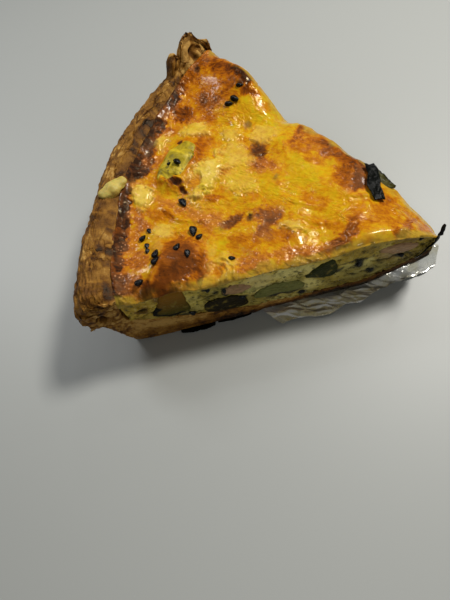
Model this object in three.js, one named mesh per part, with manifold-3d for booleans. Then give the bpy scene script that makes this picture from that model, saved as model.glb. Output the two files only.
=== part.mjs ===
// One cut slice of a vegetable quiche, in millimetres, +Z up, standing on z = 0.
// Its point looks along +X and its crust rim along -X. A place on the slice is given by r, the
// distance from the point, and by an angle in degrees from the middle line, so that the two
// cut faces lie at -half (the near one, towards -Y) and +half (the far one).
import * as THREE from "three";
import { mergeVertices } from "three/addons/utils/BufferGeometryUtils.js";
import Module from "manifold-3d";

const wasm = await Module();
wasm.setup();

// Driving dimensions, in millimetres and degrees
const tipX = 60.1;
const half = 30;
const tipCut = 3.6;
const gap = 0.3;
const baseRadius = 109;
const lipReach = 13.2;
const rimHeight = 35;
const innerRadius = 105.7;
const innerDrift = 7.5;
const fillHeight = 29.8;
const cheeseThick = 2.6;
const baseThick = 4.8;
const tipLift = 14;
const liftLength = 26;
const foilThick = 0.6;
const seedLength = 3.2;

// How finely the pieces are divided; the torn end of the rim, past an angle, more finely
const hornAngle = 18;
const crustSteps = 32;
const hornSteps = 13;
const fillSteps = 30;
const fillRings = 23;

const radians = Math.PI / 180;
const across = (angle) => (angle + half) / (2 * half);
const clamp01 = (x) => Math.min(1, Math.max(0, x));
const smooth = (x) => clamp01(x) ** 2 * (3 - 2 * clamp01(x));
const bell = (x) => Math.exp(-0.5 * x * x);
const blunt = (x, power) => Math.exp(-0.5 * Math.abs(x) ** power);

// Values at even steps, both ends among them
function evenly(from, to, steps) {
  return [...Array(steps + 1).keys()].map((i) => from + ((to - from) * i) / steps);
}

function place(r, angle, z) {
  return [tipX - r * Math.cos(angle * radians), r * Math.sin(angle * radians), z];
}

// Three crossed waves, from -1 to 1, about one wave in each length given
function waves(u, v, length) {
  const a = (u / length) * 2 * Math.PI;
  const b = (v / length) * 2 * Math.PI;
  const first = Math.sin(a + 1.3 * Math.sin(0.6 * b + 0.7));
  const second = Math.sin(0.8 * b + 2.1 + 1.1 * Math.sin(0.75 * a));
  const third = Math.sin(0.65 * (a + b) + 4);
  return (first + second + third) / 3;
}

// Bumps and hollows of the baked top: where, how wide and how high
const topShapes = [
  { r: 87, angle: -23.5, wide: 6, high: 4.4 },
  { r: 97, angle: -26, wide: 5, high: 2.6 },
  { r: 106, angle: 28, wide: 10, high: 6.5 },
  { r: 92, angle: 28, wide: 7.5, high: 5 },
  { r: 72, angle: 30, wide: 4, high: -4.2 },
  { r: 25, angle: -28, wide: 7, high: 1.6 },
  { r: 38, angle: 24, wide: 9, high: 1.4 },
  { r: 74, angle: -25, wide: 5, high: -1.4 },
  { r: 89.5, angle: -5, wide: 3, high: -2.2 },
  { r: 93, angle: 1, wide: 7, high: 1.6 },
  { r: 58, angle: 12, wide: 8, high: 0.9 },
  { r: 63, angle: -9, wide: 8, high: -0.8 },
];

function topAt(r, angle) {
  const [x, y] = place(r, angle, 0);
  let z = fillHeight + 0.8 * waves(x, y, 31) + 0.4 * waves(y + 9, x, 13);
  for (const shape of topShapes) {
    const [cx, cy] = place(shape.r, shape.angle, 0);
    z += shape.high * bell(Math.hypot(x - cx, y - cy) / shape.wide);
  }
  const nearTip = clamp01(1 - r / liftLength);
  return z - 4.2 * nearTip ** 2 - 5.5 * across(angle) * clamp01(1 - r / 34);
}

const cheeseUnder = (r, angle) => topAt(r, angle) - cheeseThick - 0.4 * waves(r, angle, 17);

// The point is bent up, off the surface that the slice stands on
const liftAt = (r) => tipLift * clamp01(1 - r / liftLength) ** 1.4;

// Along the near cut, near the point, the base leaves room for the foil under it
function footAt(r, angle) {
  const outward = r * Math.sin((angle + half) * radians);
  const room = smooth((9 - outward) / 2) * smooth((64 - r) / 3) * smooth((r - 8) / 4);
  return liftAt(r) + 1.6 * room;
}

function baseTop(r) {
  const thickening = 10 * clamp01((r - 45) / 55) ** 2;
  return liftAt(r) + baseThick + thickening + 0.9 * smooth(r / liftLength);
}

const radii = [tipCut, 6, 9, 13, 19, 26, 36, 48, 60, 72, 84, 94, 101];

// The rim, from the foot of the wall over the lip and the top to the inner wall: each point's
// distance outward of the base radius and height, how far it follows the lip, which rises
// towards the far cut, and how deep its crags are.
const rimOutline = [
  { out: 1.4, z: 1.4, lip: 0, crag: 0.2 },
  { out: 3.0, z: 5.6, lip: 0.1, crag: 0.5 },
  { out: 4.6, z: 10.2, lip: 0.3, crag: 0.6 },
  { out: 6.2, z: 15, lip: 0.6, crag: 0.6 },
  { out: 8.4, z: 17.6, lip: 0.9, crag: 0.4 },
  { out: 11.2, z: 17.9, lip: 1, crag: 0.5 },
  { out: lipReach, z: 21, lip: 1, crag: 0.6 },
  { out: lipReach - 0.2, z: 25, lip: 0.8, crag: 0.6 },
  { out: 11.6, z: 29, lip: 0.5, crag: 0.7 },
  { out: 9, z: rimHeight - 2.3, lip: 0.2, crag: 0.7 },
  { out: 5.8, z: rimHeight - 0.3, lip: 0, crag: 0.8 },
  { out: 2.4, z: rimHeight, lip: 0, crag: 0.8 },
  { out: -0.6, z: rimHeight - 0.8, lip: 0, crag: 0.5 },
];

// A torn lump stands up at the far end of the rim, with a small lobe beside it. Each has its
// angle and how wide it is there, its height, and how far out it stands and reaches.
const rimLumps = [
  { angle: 26.4, wide: 3.4, high: 5.6, out: 4.5, reach: 5.5 },
  { angle: 25.6, wide: 1.9, high: 4.8, out: 4.5, reach: 5.5 },
  { angle: 21.7, wide: 0.9, high: 6, out: 8.5, reach: 3.6 },
];

function rimPoint(spot, angle) {
  const t = across(angle);
  const alongRim = angle * radians * baseRadius;
  const rough = spot.crag * (waves(alongRim, 3 * spot.z, 9) + 0.7 * waves(alongRim, 4 * spot.out, 4.3));
  const inward = clamp01((7 - spot.out) / 7);
  const drift = innerDrift * t ** 1.3 * inward;
  const worn = 2.4 * bell((angle + 10) / 11) * clamp01((spot.out - 3) / 8);
  let r = baseRadius + spot.out - worn + drift * 0.9 + spot.lip * (1.3 * t + rough * 0.7);
  let z = spot.z + spot.lip * 7 * t * smooth((lipReach - spot.out + 9) / 9) + rough * 0.6;
  if (spot.z >= rimHeight - 3) {
    z += 1.2 * t - 1.1 * bell((angle - 3) / 9);
    for (const lump of rimLumps) {
      const side = blunt((angle - lump.angle) / lump.wide, 4);
      z += lump.high * side * blunt((spot.out - lump.out) / lump.reach, 3);
    }
  }
  if (spot.z > 28) {
    r += 1.2 * bell((angle - 27) / 2) * inward;
  }
  return [r, z];
}

// Where the filling and the cheese meet the pastry: distance from the point at three heights
const wallHeights = [19, 25.5];
function wallAt(z, angle) {
  const drift = innerDrift * across(angle) ** 1.3;
  const share = 0.25 + 0.75 * smooth((z - 19) / 7);
  return innerRadius + 1.6 * bell((z - 22) / 5) + drift * share;
}

// Distances from the point at which the cheese and the filling under it are drawn
function ringsAt(angle) {
  const span = wallAt(31, angle) - gap - tipCut;
  return evenly(0, 1, fillRings).map((part) => tipCut + span * part ** 0.85);
}

function crustSection(angle) {
  const under = [...radii, baseRadius].map((r) => [r, footAt(r, angle)]);
  const rim = rimOutline.map((spot) => rimPoint(spot, angle));
  const inside = [31, ...wallHeights.toReversed()].map((z) => [wallAt(z, angle), z]);
  const floor = radii.toReversed().map((r) => [r, baseTop(r)]);
  return [...under, ...rim, ...inside, ...floor];
}

function fillingSection(angle) {
  const floor = radii.map((r) => [r, baseTop(r) + gap]);
  const wall = wallHeights.map((z) => [wallAt(z, angle) - gap, z]);
  const top = ringsAt(angle).toReversed().map((r) => [r, cheeseUnder(r, angle) - 1.2 * gap]);
  return [...floor, ...wall, ...top];
}

function cheeseSection(angle) {
  const rings = ringsAt(angle);
  const under = rings.map((r) => [r, cheeseUnder(r, angle)]);
  const over = rings.toReversed().map((r) => [r, topAt(r, angle)]);
  return [...under, ...over];
}

// Geometry from triangles of points, with shared corners merged
function geometryOf(points, triangles) {
  const geometry = new THREE.BufferGeometry();
  geometry.setAttribute("position", new THREE.BufferAttribute(new Float32Array(points.flat()), 3));
  geometry.setIndex(triangles.flat());
  return mergeVertices(geometry, 1e-4);
}

// A closed solid through a row of outlines with the same number of points in each. Each
// four-sided field is split along its shorter diagonal, so faces that follow each other agree.
function loft(outlines, flatEnd) {
  const count = outlines[0].length;
  const points = outlines.flat();
  const triangles = [];
  const span = (i, j) => Math.hypot(...points[i].map((value, n) => value - points[j][n]));
  for (let k = 0; k + 1 < outlines.length; k += 1) {
    for (let i = 0; i < count; i += 1) {
      const a = k * count + i;
      const b = k * count + ((i + 1) % count);
      if (span(a, b + count) < span(b, a + count)) {
        triangles.push([a, b, b + count], [a, b + count, a + count]);
      } else {
        triangles.push([a, b, a + count], [b, b + count, a + count]);
      }
    }
  }
  const last = (outlines.length - 1) * count;
  const clockwise = THREE.ShapeUtils.isClockWise(flatEnd);
  for (const corners of THREE.ShapeUtils.triangulateShape(flatEnd, [])) {
    const [a, b, c] = clockwise ? corners.toReversed() : corners;
    triangles.push([a, c, b], [last + a, last + b, last + c]);
  }
  return solidOf(geometryOf(points, triangles));
}

function solidOf(geometry) {
  const bare = geometry.clone();
  bare.deleteAttribute("normal");
  bare.deleteAttribute("uv");
  const merged = mergeVertices(bare, 1e-4);
  const mesh = new wasm.Mesh({
    numProp: 3,
    vertProperties: new Float32Array(merged.attributes.position.array),
    triVerts: new Uint32Array(merged.index.array),
  });
  const solid = new wasm.Manifold(mesh);
  if (solid.volume() >= 0) return solid;
  mesh.triVerts = mesh.triVerts.reverse();
  return new wasm.Manifold(mesh);
}

// A section in r and z, swept through a row of angles from one cut face to the other
function sweep(section, angles) {
  const outlines = angles.map((angle) => section(angle).map(([r, z]) => place(r, angle, z)));
  const flat = section(-half).map(([r, z]) => new THREE.Vector2(r, z));
  return loft(outlines, flat);
}

// An outline moved outward by a distance, corner by corner
function widened(outline, by) {
  const count = outline.length;
  return outline.map(([s, z], i) => {
    const [ps, pz] = outline[(i + count - 1) % count];
    const [ns, nz] = outline[(i + 1) % count];
    const before = new THREE.Vector2(z - pz, ps - s).normalize();
    const after = new THREE.Vector2(nz - z, s - ns).normalize();
    const spread = before.clone().add(after).multiplyScalar(by / (1 + before.dot(after)));
    return [s + spread.x, z + spread.y];
  });
}

// A piece of vegetable that a cut face shows: its outline there, counter-clockwise in the
// distance from the point and the height, runs into the filling and narrows to its back.
function chunk({ outline, deep, side, narrow = 0.7 }, grow = 0) {
  const middle = new THREE.Vector2();
  outline.forEach(([s, z]) => middle.add(new THREE.Vector2(s, z).divideScalar(outline.length)));
  const front = widened(outline, grow);
  const stages = [
    { into: 0, scale: 1 },
    { into: deep * 0.6, scale: 0.5 + 0.5 * narrow },
    { into: deep + grow, scale: narrow },
  ];
  if (grow) stages.unshift({ into: -2, scale: 1 });
  const angle = side * half * radians;
  const rings = stages.map(({ into, scale }) =>
    front.map(([s, z]) => {
      const along = middle.x + (s - middle.x) * scale;
      const x = tipX - along * Math.cos(angle) - into * Math.sin(half * radians);
      const y = along * Math.sin(angle) - side * into * Math.cos(half * radians);
      return [x, y, middle.y + (z - middle.y) * scale];
    }),
  );
  return loft(rings, front.map(([s, z]) => new THREE.Vector2(s, z)));
}

// The pieces in the two cut faces: distance from the point and height of each corner
const vegetables = {
  courgette_wedge: {
    side: -1, deep: 15, narrow: 0.75, colour: 0x6f6a1f,
    outline: [
      [86, 15.2], [92.5, 13.9], [97.6, 15.6], [98, 18.4], [95, 23.2], [92.4, 29], [86.4, 29.4],
      [85.8, 22],
    ],
  },
  aubergine_slab: {
    side: -1, deep: 12, colour: 0x2c2a12,
    outline: [[66.6, 9.4], [73, 8], [80.2, 9.8], [80.8, 15.6], [76, 17.4], [68, 15.6]],
  },
  courgette_slice: {
    side: -1, deep: 11, colour: 0x6b7040,
    outline: [[46.8, 11.4], [54, 10.4], [63.4, 12], [61.2, 16.8], [54.6, 18.2], [48, 16.2]],
  },
  courgette_end: {
    side: -1, deep: 9, colour: 0x2f3a12,
    outline: [[36.4, 15.4], [40, 15.2], [46, 17.9], [41.4, 23], [37.6, 25], [35.4, 20]],
  },
  onion_strip: {
    side: -1, deep: 8, colour: 0x9a7f63,
    outline: [[64.4, 20.6], [69.2, 18.6], [73.4, 20.6], [72.4, 23.2], [67.6, 24.2]],
  },
  onion_strip_tip: {
    side: -1, deep: 6, colour: 0xa38668,
    outline: [[9.6, 20.6], [14.6, 18.8], [21.6, 21.8], [20.6, 24], [14.8, 24.4], [10.2, 22.6]],
  },
  courgette_far: {
    side: 1, deep: 13, colour: 0x6f6a1f,
    outline: [[82, 15], [88, 13.4], [94, 15.4], [95.4, 20.4], [91.6, 26.4], [84.6, 25.6]],
  },
  aubergine_far: {
    side: 1, deep: 11, colour: 0x2c2a12,
    outline: [[56, 9.6], [63, 8.8], [68.8, 10.6], [68, 14.4], [61, 15.8], [56.2, 13.8]],
  },
  courgette_far_slice: {
    side: 1, deep: 10, colour: 0x6b7040,
    outline: [[33, 12.4], [40, 10.6], [47.6, 12], [47, 16.6], [40, 18.8], [34, 17]],
  },
  onion_far: {
    side: 1, deep: 8, colour: 0x9a7f63,
    outline: [[70.4, 19.4], [76, 18.6], [80, 20.4], [77.4, 22.6], [72, 22.4]],
  },
};

// A squashed, turned ball for a lump that shows on top
function lump({ r, angle, z, size, turn, tilt = 0 }, grow = 0) {
  const ball = new THREE.SphereGeometry(1, 12, 8);
  ball.scale(size[0] / 2 + grow, size[1] / 2 + grow, size[2] / 2 + grow);
  ball.rotateX(tilt * radians);
  ball.rotateZ(turn * radians);
  ball.translate(...place(r, angle, z));
  return solidOf(ball);
}

const courgetteTop = { r: 93.4, angle: 2.4, z: 30.9, size: [10, 18.4, 4.4], turn: -8, tilt: 3 };
const rimCheese = { r: 110.6, angle: -7.2, z: 34.6, size: [11, 5.6, 3.4], turn: 62 };

// Black seeds pressed into the cheese: x, y, turn and size of each
const seeds = [
  [-25.6, -11.4, -38, 1.2], [-33.4, -28.4, 70, 0.9], [-32.6, -25, -40, 0.8],
  [-30.4, -31.4, -60, 0.8], [-29.2, -33.4, -70, 0.7], [-24.4, -35.2, 95, 1.1],
  [-23.2, -37.8, 75, 1.1], [-19, -31, 80, 1], [-15.3, -31.9, -65, 0.9], [-26.2, -45.4, 50, 1],
  [-17.7, -22, -62, 1.25], [-15, -23.2, 60, 0.8], [-2.4, -27.9, 20, 0.75], [-44.2, 34.6, 70, 1],
  [-21.4, 34.9, -15, 1.15], [-23.2, 33, 10, 1], [-20.6, 39.6, 10, 0.95],
];

function seed([x, y, turn, size]) {
  const grain = new THREE.SphereGeometry(0.5, 5, 4);
  grain.scale(size * seedLength, size * seedLength * 0.6, size * seedLength * 0.5);
  grain.rotateZ(turn * radians);
  const r = Math.hypot(tipX - x, y);
  const angle = Math.atan2(y, tipX - x) / radians;
  grain.translate(x, y, topAt(r, angle) + 0.35);
  return solidOf(grain);
}

// A thin wavy sheet over a grid of u and v from 0 to 1, at gives the middle of its thickness
function sheet(at, stepsU, stepsV, thick) {
  const outlines = [];
  for (let i = 0; i <= stepsU; i += 1) {
    const row = evenly(0, 1, stepsV).map((v) => at(i / stepsU, v));
    const over = row.map(([x, y, z]) => [x, y, z + thick / 2]);
    const under = row.toReversed().map(([x, y, z]) => [x, y, z - thick / 2]);
    outlines.push([...over, ...under]);
  }
  return ribbon(outlines);
}

// As loft, with each end closed as a lens is: its upper points joined to its lower ones
function ribbon(outlines) {
  const last = outlines[0].length / 2 - 1;
  const row = [...Array(last + 1).keys()];
  const upper = row.map((i) => new THREE.Vector2(i, 1 + 0.1 * i * (last - i)));
  const lower = row.toReversed().map((i) => new THREE.Vector2(i, -0.1 * i * (last - i)));
  return loft(outlines, [...upper, ...lower]);
}

// Crumpled foil under the near edge and the raised point: s runs along the near cut and out
// leads away from it, into the open.
const foilReach = [
  [61.5, 0.5], [58.5, 4.4], [56, 7.2], [52.5, 6.2], [46, 7], [41, 8.2], [36.5, 7], [32.5, 5.4],
  [27.5, 6.2], [23, 4.2], [17, 2.8], [12, 1.6], [7, 1.2], [2, 0.4], [-2.6, -1.5],
];

function foilAt(u, v) {
  const step = u * (foilReach.length - 1);
  const k = Math.min(foilReach.length - 2, Math.floor(step));
  const [before, after] = [foilReach[k], foilReach[k + 1]];
  const [s, reach] = before.map((value, n) => value + (after[n] - value) * (step - k));
  const inner = -5.5;
  const out = inner + (reach - inner) * v;
  const raised = 0.75 * liftAt(Math.hypot(s, out)) * smooth((0.95 - v) / 0.75);
  const crumple = 0.35 * waves(s, 2 * out, 5.5) * bell(raised / 9);
  const z = 0.75 + raised + crumple * smooth(v * 3);
  const cos = Math.cos(half * radians);
  const sin = Math.sin(half * radians);
  return [tipX - s * cos + out * sin, -s * sin - out * cos, z];
}

// A charred piece of leaf, creased across, lying on the cheese from the far cut inwards
const leafEnds = [[31.2, 15.2], [36.2, 3.4]];
const leafWidth = 6.4;

function leafAt(u, v) {
  const [start, end] = leafEnds;
  const way = [end[0] - start[0], end[1] - start[1]];
  const long = Math.hypot(...way);
  const aside = leafWidth * (v - 0.5) * (0.7 + 0.3 * Math.sin(Math.PI * (0.2 + 0.6 * u)));
  const x = start[0] + way[0] * u - (way[1] / long) * aside + 0.5 * Math.sin(7 * u);
  const y = start[1] + way[1] * u + (way[0] / long) * aside;
  const r = Math.hypot(tipX - x, y);
  const angle = Math.min(half, Math.atan2(y, tipX - x) / radians);
  const fold = 1.4 * Math.abs(Math.sin(2.4 * Math.PI * u + 2 * v)) + 1.2 * Math.abs(v - 0.5);
  return [x, y, topAt(r, angle) + 0.8 + fold];
}

// A burnt strip that lies against the near cut and sticks out past the point
const stripPath = [
  [8.6, 0.7, 14.4], [6.6, 0.8, 17.5], [5, 0.8, 21], [4.2, 0.9, 25], [4, 1, 28], [3.8, 0.8, 31],
];

function stripSolid() {
  const cos = Math.cos(half * radians);
  const sin = Math.sin(half * radians);
  const route = stripPath.map(
    ([s, out, z]) => new THREE.Vector3(tipX - s * cos + out * sin, -s * sin - out * cos, z),
  );
  const section = new THREE.Shape([
    new THREE.Vector2(-0.3, -0.7), new THREE.Vector2(0.3, -0.7),
    new THREE.Vector2(0.3, 0.7), new THREE.Vector2(-0.3, 0.7),
  ]);
  const curve = new THREE.CatmullRomCurve3(route);
  return solidOf(new THREE.ExtrudeGeometry(section, { steps: 14, extrudePath: curve }));
}

function meshOf(name, solid, colour, roughness = 0.6, metalness = 0) {
  const { vertProperties, triVerts } = solid.getMesh();
  const geometry = new THREE.BufferGeometry();
  geometry.setAttribute("position", new THREE.BufferAttribute(new Float32Array(vertProperties), 3));
  geometry.setIndex([...triVerts]);
  geometry.computeVertexNormals();
  const finish = new THREE.MeshStandardMaterial({ color: colour, roughness, metalness });
  const mesh = new THREE.Mesh(geometry, finish);
  mesh.name = name;
  return mesh;
}

const slice = new THREE.Group();
const fillAngles = evenly(-half, half, fillSteps);
const crustAngles = [
  ...evenly(-half, hornAngle, crustSteps), ...evenly(hornAngle, half, hornSteps).slice(1),
];
const fillingBody = sweep(fillingSection, fillAngles);
const cheeseBody = sweep(cheeseSection, fillAngles);

let filling = fillingBody.subtract(lump(courgetteTop, gap));
for (const name of Object.keys(vegetables)) {
  filling = filling.subtract(chunk(vegetables[name], gap));
  const piece = chunk(vegetables[name]).intersect(fillingBody);
  slice.add(meshOf(name, piece, vegetables[name].colour));
}

let cheese = cheeseBody.subtract(lump(courgetteTop, gap));
for (const one of seeds) {
  cheese = cheese.add(seed(one));
}
cheese = cheese.subtract(lump(courgetteTop, gap));

const crust = sweep(crustSection, crustAngles).subtract(lump(rimCheese, gap));

slice.add(meshOf("crust", crust, 0x9a6a33, 0.75));
slice.add(meshOf("filling", filling, 0xc9b45c, 0.6));
slice.add(meshOf("cheese_top", cheese, 0xd9981c, 0.35));
slice.add(meshOf("courgette_top", lump(courgetteTop), 0xb0a01e, 0.4));
slice.add(meshOf("rim_cheese", lump(rimCheese), 0xcdbb7e, 0.6));
slice.add(meshOf("charred_leaf", sheet(leafAt, 10, 6, 0.9), 0x15150f, 0.3));
slice.add(meshOf("burnt_strip", stripSolid(), 0x120d08, 0.5));
slice.add(meshOf("foil", sheet(foilAt, 32, 5, foilThick), 0xb4b6b4, 0.25, 1));

export default slice;
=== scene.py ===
import bpy, bmesh, math
import numpy as np
from mathutils import Matrix, Vector


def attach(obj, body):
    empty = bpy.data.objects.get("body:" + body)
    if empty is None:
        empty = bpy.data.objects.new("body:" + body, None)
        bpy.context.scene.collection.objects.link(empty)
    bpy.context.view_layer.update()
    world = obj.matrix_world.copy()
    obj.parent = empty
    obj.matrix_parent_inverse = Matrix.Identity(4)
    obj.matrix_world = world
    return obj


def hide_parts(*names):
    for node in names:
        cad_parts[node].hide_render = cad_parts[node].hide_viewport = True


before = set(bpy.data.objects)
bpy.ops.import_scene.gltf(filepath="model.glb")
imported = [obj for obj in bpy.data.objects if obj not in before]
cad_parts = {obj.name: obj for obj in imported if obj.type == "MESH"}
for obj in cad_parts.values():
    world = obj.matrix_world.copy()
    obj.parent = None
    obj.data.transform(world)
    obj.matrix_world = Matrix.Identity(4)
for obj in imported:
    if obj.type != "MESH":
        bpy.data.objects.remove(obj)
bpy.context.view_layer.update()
print("frame loaded")

# The slice in millimetres: its point looks along +X, r is the distance from the point, and the
# angle runs from -half at the near cut to +half at the far cut.
slicePlan = {"tipX": 60.1, "half": 30.0, "tipCut": 3.6, "baseRadius": 109.0, "innerRadius": 105.7,
             "innerDrift": 7.5, "fillHeight": 29.8, "cheeseThick": 2.6, "baseThick": 4.8,
             "tipLift": 14.0, "liftLength": 26.0}
tipX, half, tipCut = slicePlan["tipX"], slicePlan["half"], slicePlan["tipCut"]
cosHalf, sinHalf = math.cos(math.radians(half)), math.sin(math.radians(half))
chance = np.random.default_rng(5)


def clamp(x):  # kept between 0 and 1
    return np.clip(x, 0.0, 1.0)


def smooth(x):  # eased step: 0 below 0, 1 above 1
    t = clamp(x)
    return t * t * (3 - 2 * t)


def bell(x):  # a bell of width 1 about 0
    return np.exp(-0.5 * np.square(x))


def across(angle):  # 0 at the near cut, 1 at the far cut
    return clamp((angle + half) / (2 * half))


def place(r, angle, z):  # a point from its distance to the slice's point, its angle and height
    turn = np.radians(angle)
    r, turn, z = np.broadcast_arrays(r, turn, z)
    return np.stack([tipX - r * np.cos(turn), r * np.sin(turn), z], -1)


def onCut(s, z, out, side):  # a point on a cut face: along it, up, and outward of it
    s, z, out = np.broadcast_arrays(s, z, out)
    return np.stack([tipX - s * cosHalf + out * sinHalf, side * (s * sinHalf + out * cosHalf), z], -1)


def waves(u, v, length):  # mean of three crossed sine waves, each bent by another one
    a, b = u / length * 2 * np.pi, v / length * 2 * np.pi
    return (np.sin(a + 1.3 * np.sin(0.6 * b + 0.7)) + np.sin(0.8 * b + 2.1 + 1.1 * np.sin(0.75 * a))
            + np.sin(0.65 * (a + b) + 4)) / 3


tableSide = 32
noiseTable = np.random.default_rng(11).random((tableSide,) * 3)
pointTable = np.random.default_rng(12).random((tableSide, tableSide, tableSide, 4))


def noise(x, y, z, size, eased=True):  # random values at whole steps of a size, blended between
    spots = [c / size for c in np.broadcast_arrays(*(np.asarray(c, float) for c in (x, y, z)))]
    low = [np.floor(c).astype(int) for c in spots]
    part = [c - l for c, l in zip(spots, low)]
    if eased:
        part = [smooth(p) for p in part]
    total = 0
    for corner in np.ndindex(2, 2, 2):
        weight = 1
        for axis in range(3):
            weight = weight * (part[axis] if corner[axis] else 1 - part[axis])
        total = total + weight * noiseTable[tuple((low[a] + corner[a]) % tableSide for a in range(3))]
    return 2 * total - 1


def deepNoise(x, y, z, size, count=4, fade=0.55):  # noise, and half-size noise on it, again and again
    total, strength, allStrength = 0, 1.0, 0.0
    for k in range(count):
        total = total + strength * noise(x + 13.7 * k, y - 8.3 * k, z + 5.1 * k, size / 2 ** k)
        allStrength += strength
        strength *= fade
    return total / allStrength


def cells(x, y, z, size):  # distances to the two nearest scattered points, and a value of the nearest
    spots = np.stack([np.asarray(c, float) / size for c in np.broadcast_arrays(x, y, z)], -1)
    low = np.floor(spots).astype(int)
    first = np.full(spots.shape[:-1], 9.0)
    second, value = first.copy(), np.zeros_like(first)
    for step in np.ndindex(3, 3, 3):
        cell = low + np.array(step) - 1
        entry = pointTable[tuple(np.moveaxis(cell % tableSide, -1, 0))]
        gap = np.linalg.norm(cell + entry[..., :3] - spots, axis=-1)
        nearer = gap < first
        second = np.where(nearer, first, np.minimum(second, gap))
        value = np.where(nearer, entry[..., 3], value)
        first = np.where(nearer, gap, first)
    return first, second, value


def spotMask(x, y, spot, ragged=0.0):  # 1 inside a turned oval, easing to 0 outside it
    turn = math.radians(spot[4])
    dx, dy = x - spot[0], y - spot[1]
    along = dx * math.cos(turn) + dy * math.sin(turn)
    aside = dy * math.cos(turn) - dx * math.sin(turn)
    return smooth((1.42 + ragged - np.hypot(along / spot[2], aside / spot[3])) / 0.85)


def painted(x, y, spots, main, start, ragged=0.0):  # values laid over each other, spot by spot
    values = {name: np.full(np.shape(x), value) for name, value in start.items()}
    for spot in spots:
        inSpot = spotMask(x, y, spot, ragged)
        for name, value in {main: spot[5], **dict(*spot[6:])}.items():
            if value is not None:
                values[name] += (value - values[name]) * inSpot
    return values


def toPath(x, y, path):  # distance to a bent line, and how far along it the nearest point is
    best = np.full(np.shape(x), 1e9)
    along = np.zeros(np.shape(x))
    count = len(path) - 1
    for k in range(count):
        ax, ay = path[k]
        bx, by = path[k + 1][0] - ax, path[k + 1][1] - ay
        t = clamp(((x - ax) * bx + (y - ay) * by) / (bx * bx + by * by))
        gap = np.hypot(x - ax - t * bx, y - ay - t * by)
        along = np.where(gap < best, (k + t) / count, along)
        best = np.minimum(best, gap)
    return best, along


def inside(x, y, outline):  # whether a point is inside a closed outline
    hit = np.zeros(np.shape(x), bool)
    for (ax, ay), (bx, by) in zip(outline, np.roll(outline, -1, 0)):
        if ay != by:
            hit ^= ((y > ay) != (y > by)) & (x < (bx - ax) * (y - ay) / (by - ay) + ax)
    return hit


def rounded(corners, count):  # a closed curve through corners, each point a blend of four of them
    corners = np.asarray(corners, float)
    t = np.arange(count) / count * len(corners)
    k, f = np.floor(t).astype(int), (t % 1)[:, None]
    a, b, c, d = (corners[(k + n) % len(corners)] for n in (-1, 0, 1, 2))
    return b + 0.5 * f * (c - a + f * (2 * a - 5 * b + 4 * c - d + f * (3 * (b - c) + d - a)))


def bent(values, at, count):  # a smooth curve through values, read off at given steps
    values = np.asarray(values, float)
    k = np.clip(np.floor(at).astype(int), 0, count - 2)
    f = (at - k).reshape((-1,) + (1,) * (values.ndim - 1))
    a, b, c, d = (values[np.clip(k + n, 0, count - 1)] for n in (-1, 0, 1, 2))
    return b + 0.5 * f * (c - a + f * (2 * a - 5 * b + 4 * c - d + f * (3 * (b - c) + d - a)))


# A closed slab between two surfaces on the same grid, with levels between them along its sides.
# A surface with a step above 1 keeps its edge points and only some of those inside.
def slab(low, high, levels, lowStep=1, highStep=1):
    shape = (low.shape[0], low.shape[1], len(levels))
    keep = np.zeros(shape, bool)
    sides = []
    for axis in range(3):
        for end in (0, -1):
            step = (lowStep, highStep)[end] if axis == 2 else 1
            others = [n for n in range(3) if n != axis]
            rows, columns = (list(range(0, shape[n] - 1, step)) + [shape[n] - 1] for n in others)
            chosen = np.zeros((shape[others[0]], shape[others[1]]), bool)
            chosen[np.ix_(rows, columns)] = True
            chosen[[0, -1], :] = True
            chosen[:, [0, -1]] = True
            np.moveaxis(keep, axis, 0)[end] |= chosen
            sides.append((axis, end, step, rows, columns))
    number = np.full(shape, -1)
    number[keep] = np.arange(keep.sum())
    faces = []
    for axis, end, step, rows, columns in sides:
        grid = np.moveaxis(number, axis, 0)[end]
        turned = (end == -1) == (axis != 1)
        if step == 1:
            quads = np.stack([grid[:-1, :-1], grid[1:, :-1], grid[1:, 1:], grid[:-1, 1:]], -1).reshape(-1, 4)
            faces += (quads if turned else quads[:, ::-1]).tolist()
            continue
        lastRow, lastColumn = rows[-1], columns[-1]
        for r0, r1 in zip(rows, rows[1:]):
            for c0, c1 in zip(columns, columns[1:]):
                ring = [(i, c0) for i in (range(r0, r1) if c0 == 0 else [r0])]
                ring += [(r1, j) for j in (range(c0, c1) if r1 == lastRow else [c0])]
                ring += [(i, c1) for i in (range(r1, r0, -1) if c1 == lastColumn else [r1])]
                ring += [(r0, j) for j in (range(c1, c0, -1) if r0 == 0 else [c1])]
                corners = [int(grid[spot]) for spot in ring]
                faces.append(corners if turned else corners[::-1])
    i, j, k = np.nonzero(keep)
    share = np.asarray(levels)[k]
    points = low[i, j] * (1 - share[:, None]) + high[i, j] * share[:, None]
    return points, faces, i, j, share


def gridFaces(rows, columns, wrap=False):  # four-sided faces over a grid of points
    number = np.arange(rows * columns).reshape(rows, columns)
    if wrap:
        number = np.concatenate([number, number[:, :1]], 1)
    return np.stack([number[:-1, :-1], number[:-1, 1:], number[1:, 1:], number[1:, :-1]], -1).reshape(-1, 4)


def capped(rings):  # rings of points drawn together at both ends
    rows, columns = rings.shape[:2]
    points = np.concatenate([rings.reshape(-1, 3), rings[:1].mean(1), rings[-1:].mean(1)])
    first, last = rows * columns, rows * columns + 1
    around = [(n, (n + 1) % columns) for n in range(columns)]
    faces = gridFaces(rows, columns, wrap=True).tolist()
    faces += [[first, b, a] for a, b in around]
    faces += [[last, a + (rows - 1) * columns, b + (rows - 1) * columns] for a, b in around]
    return points, faces


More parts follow.
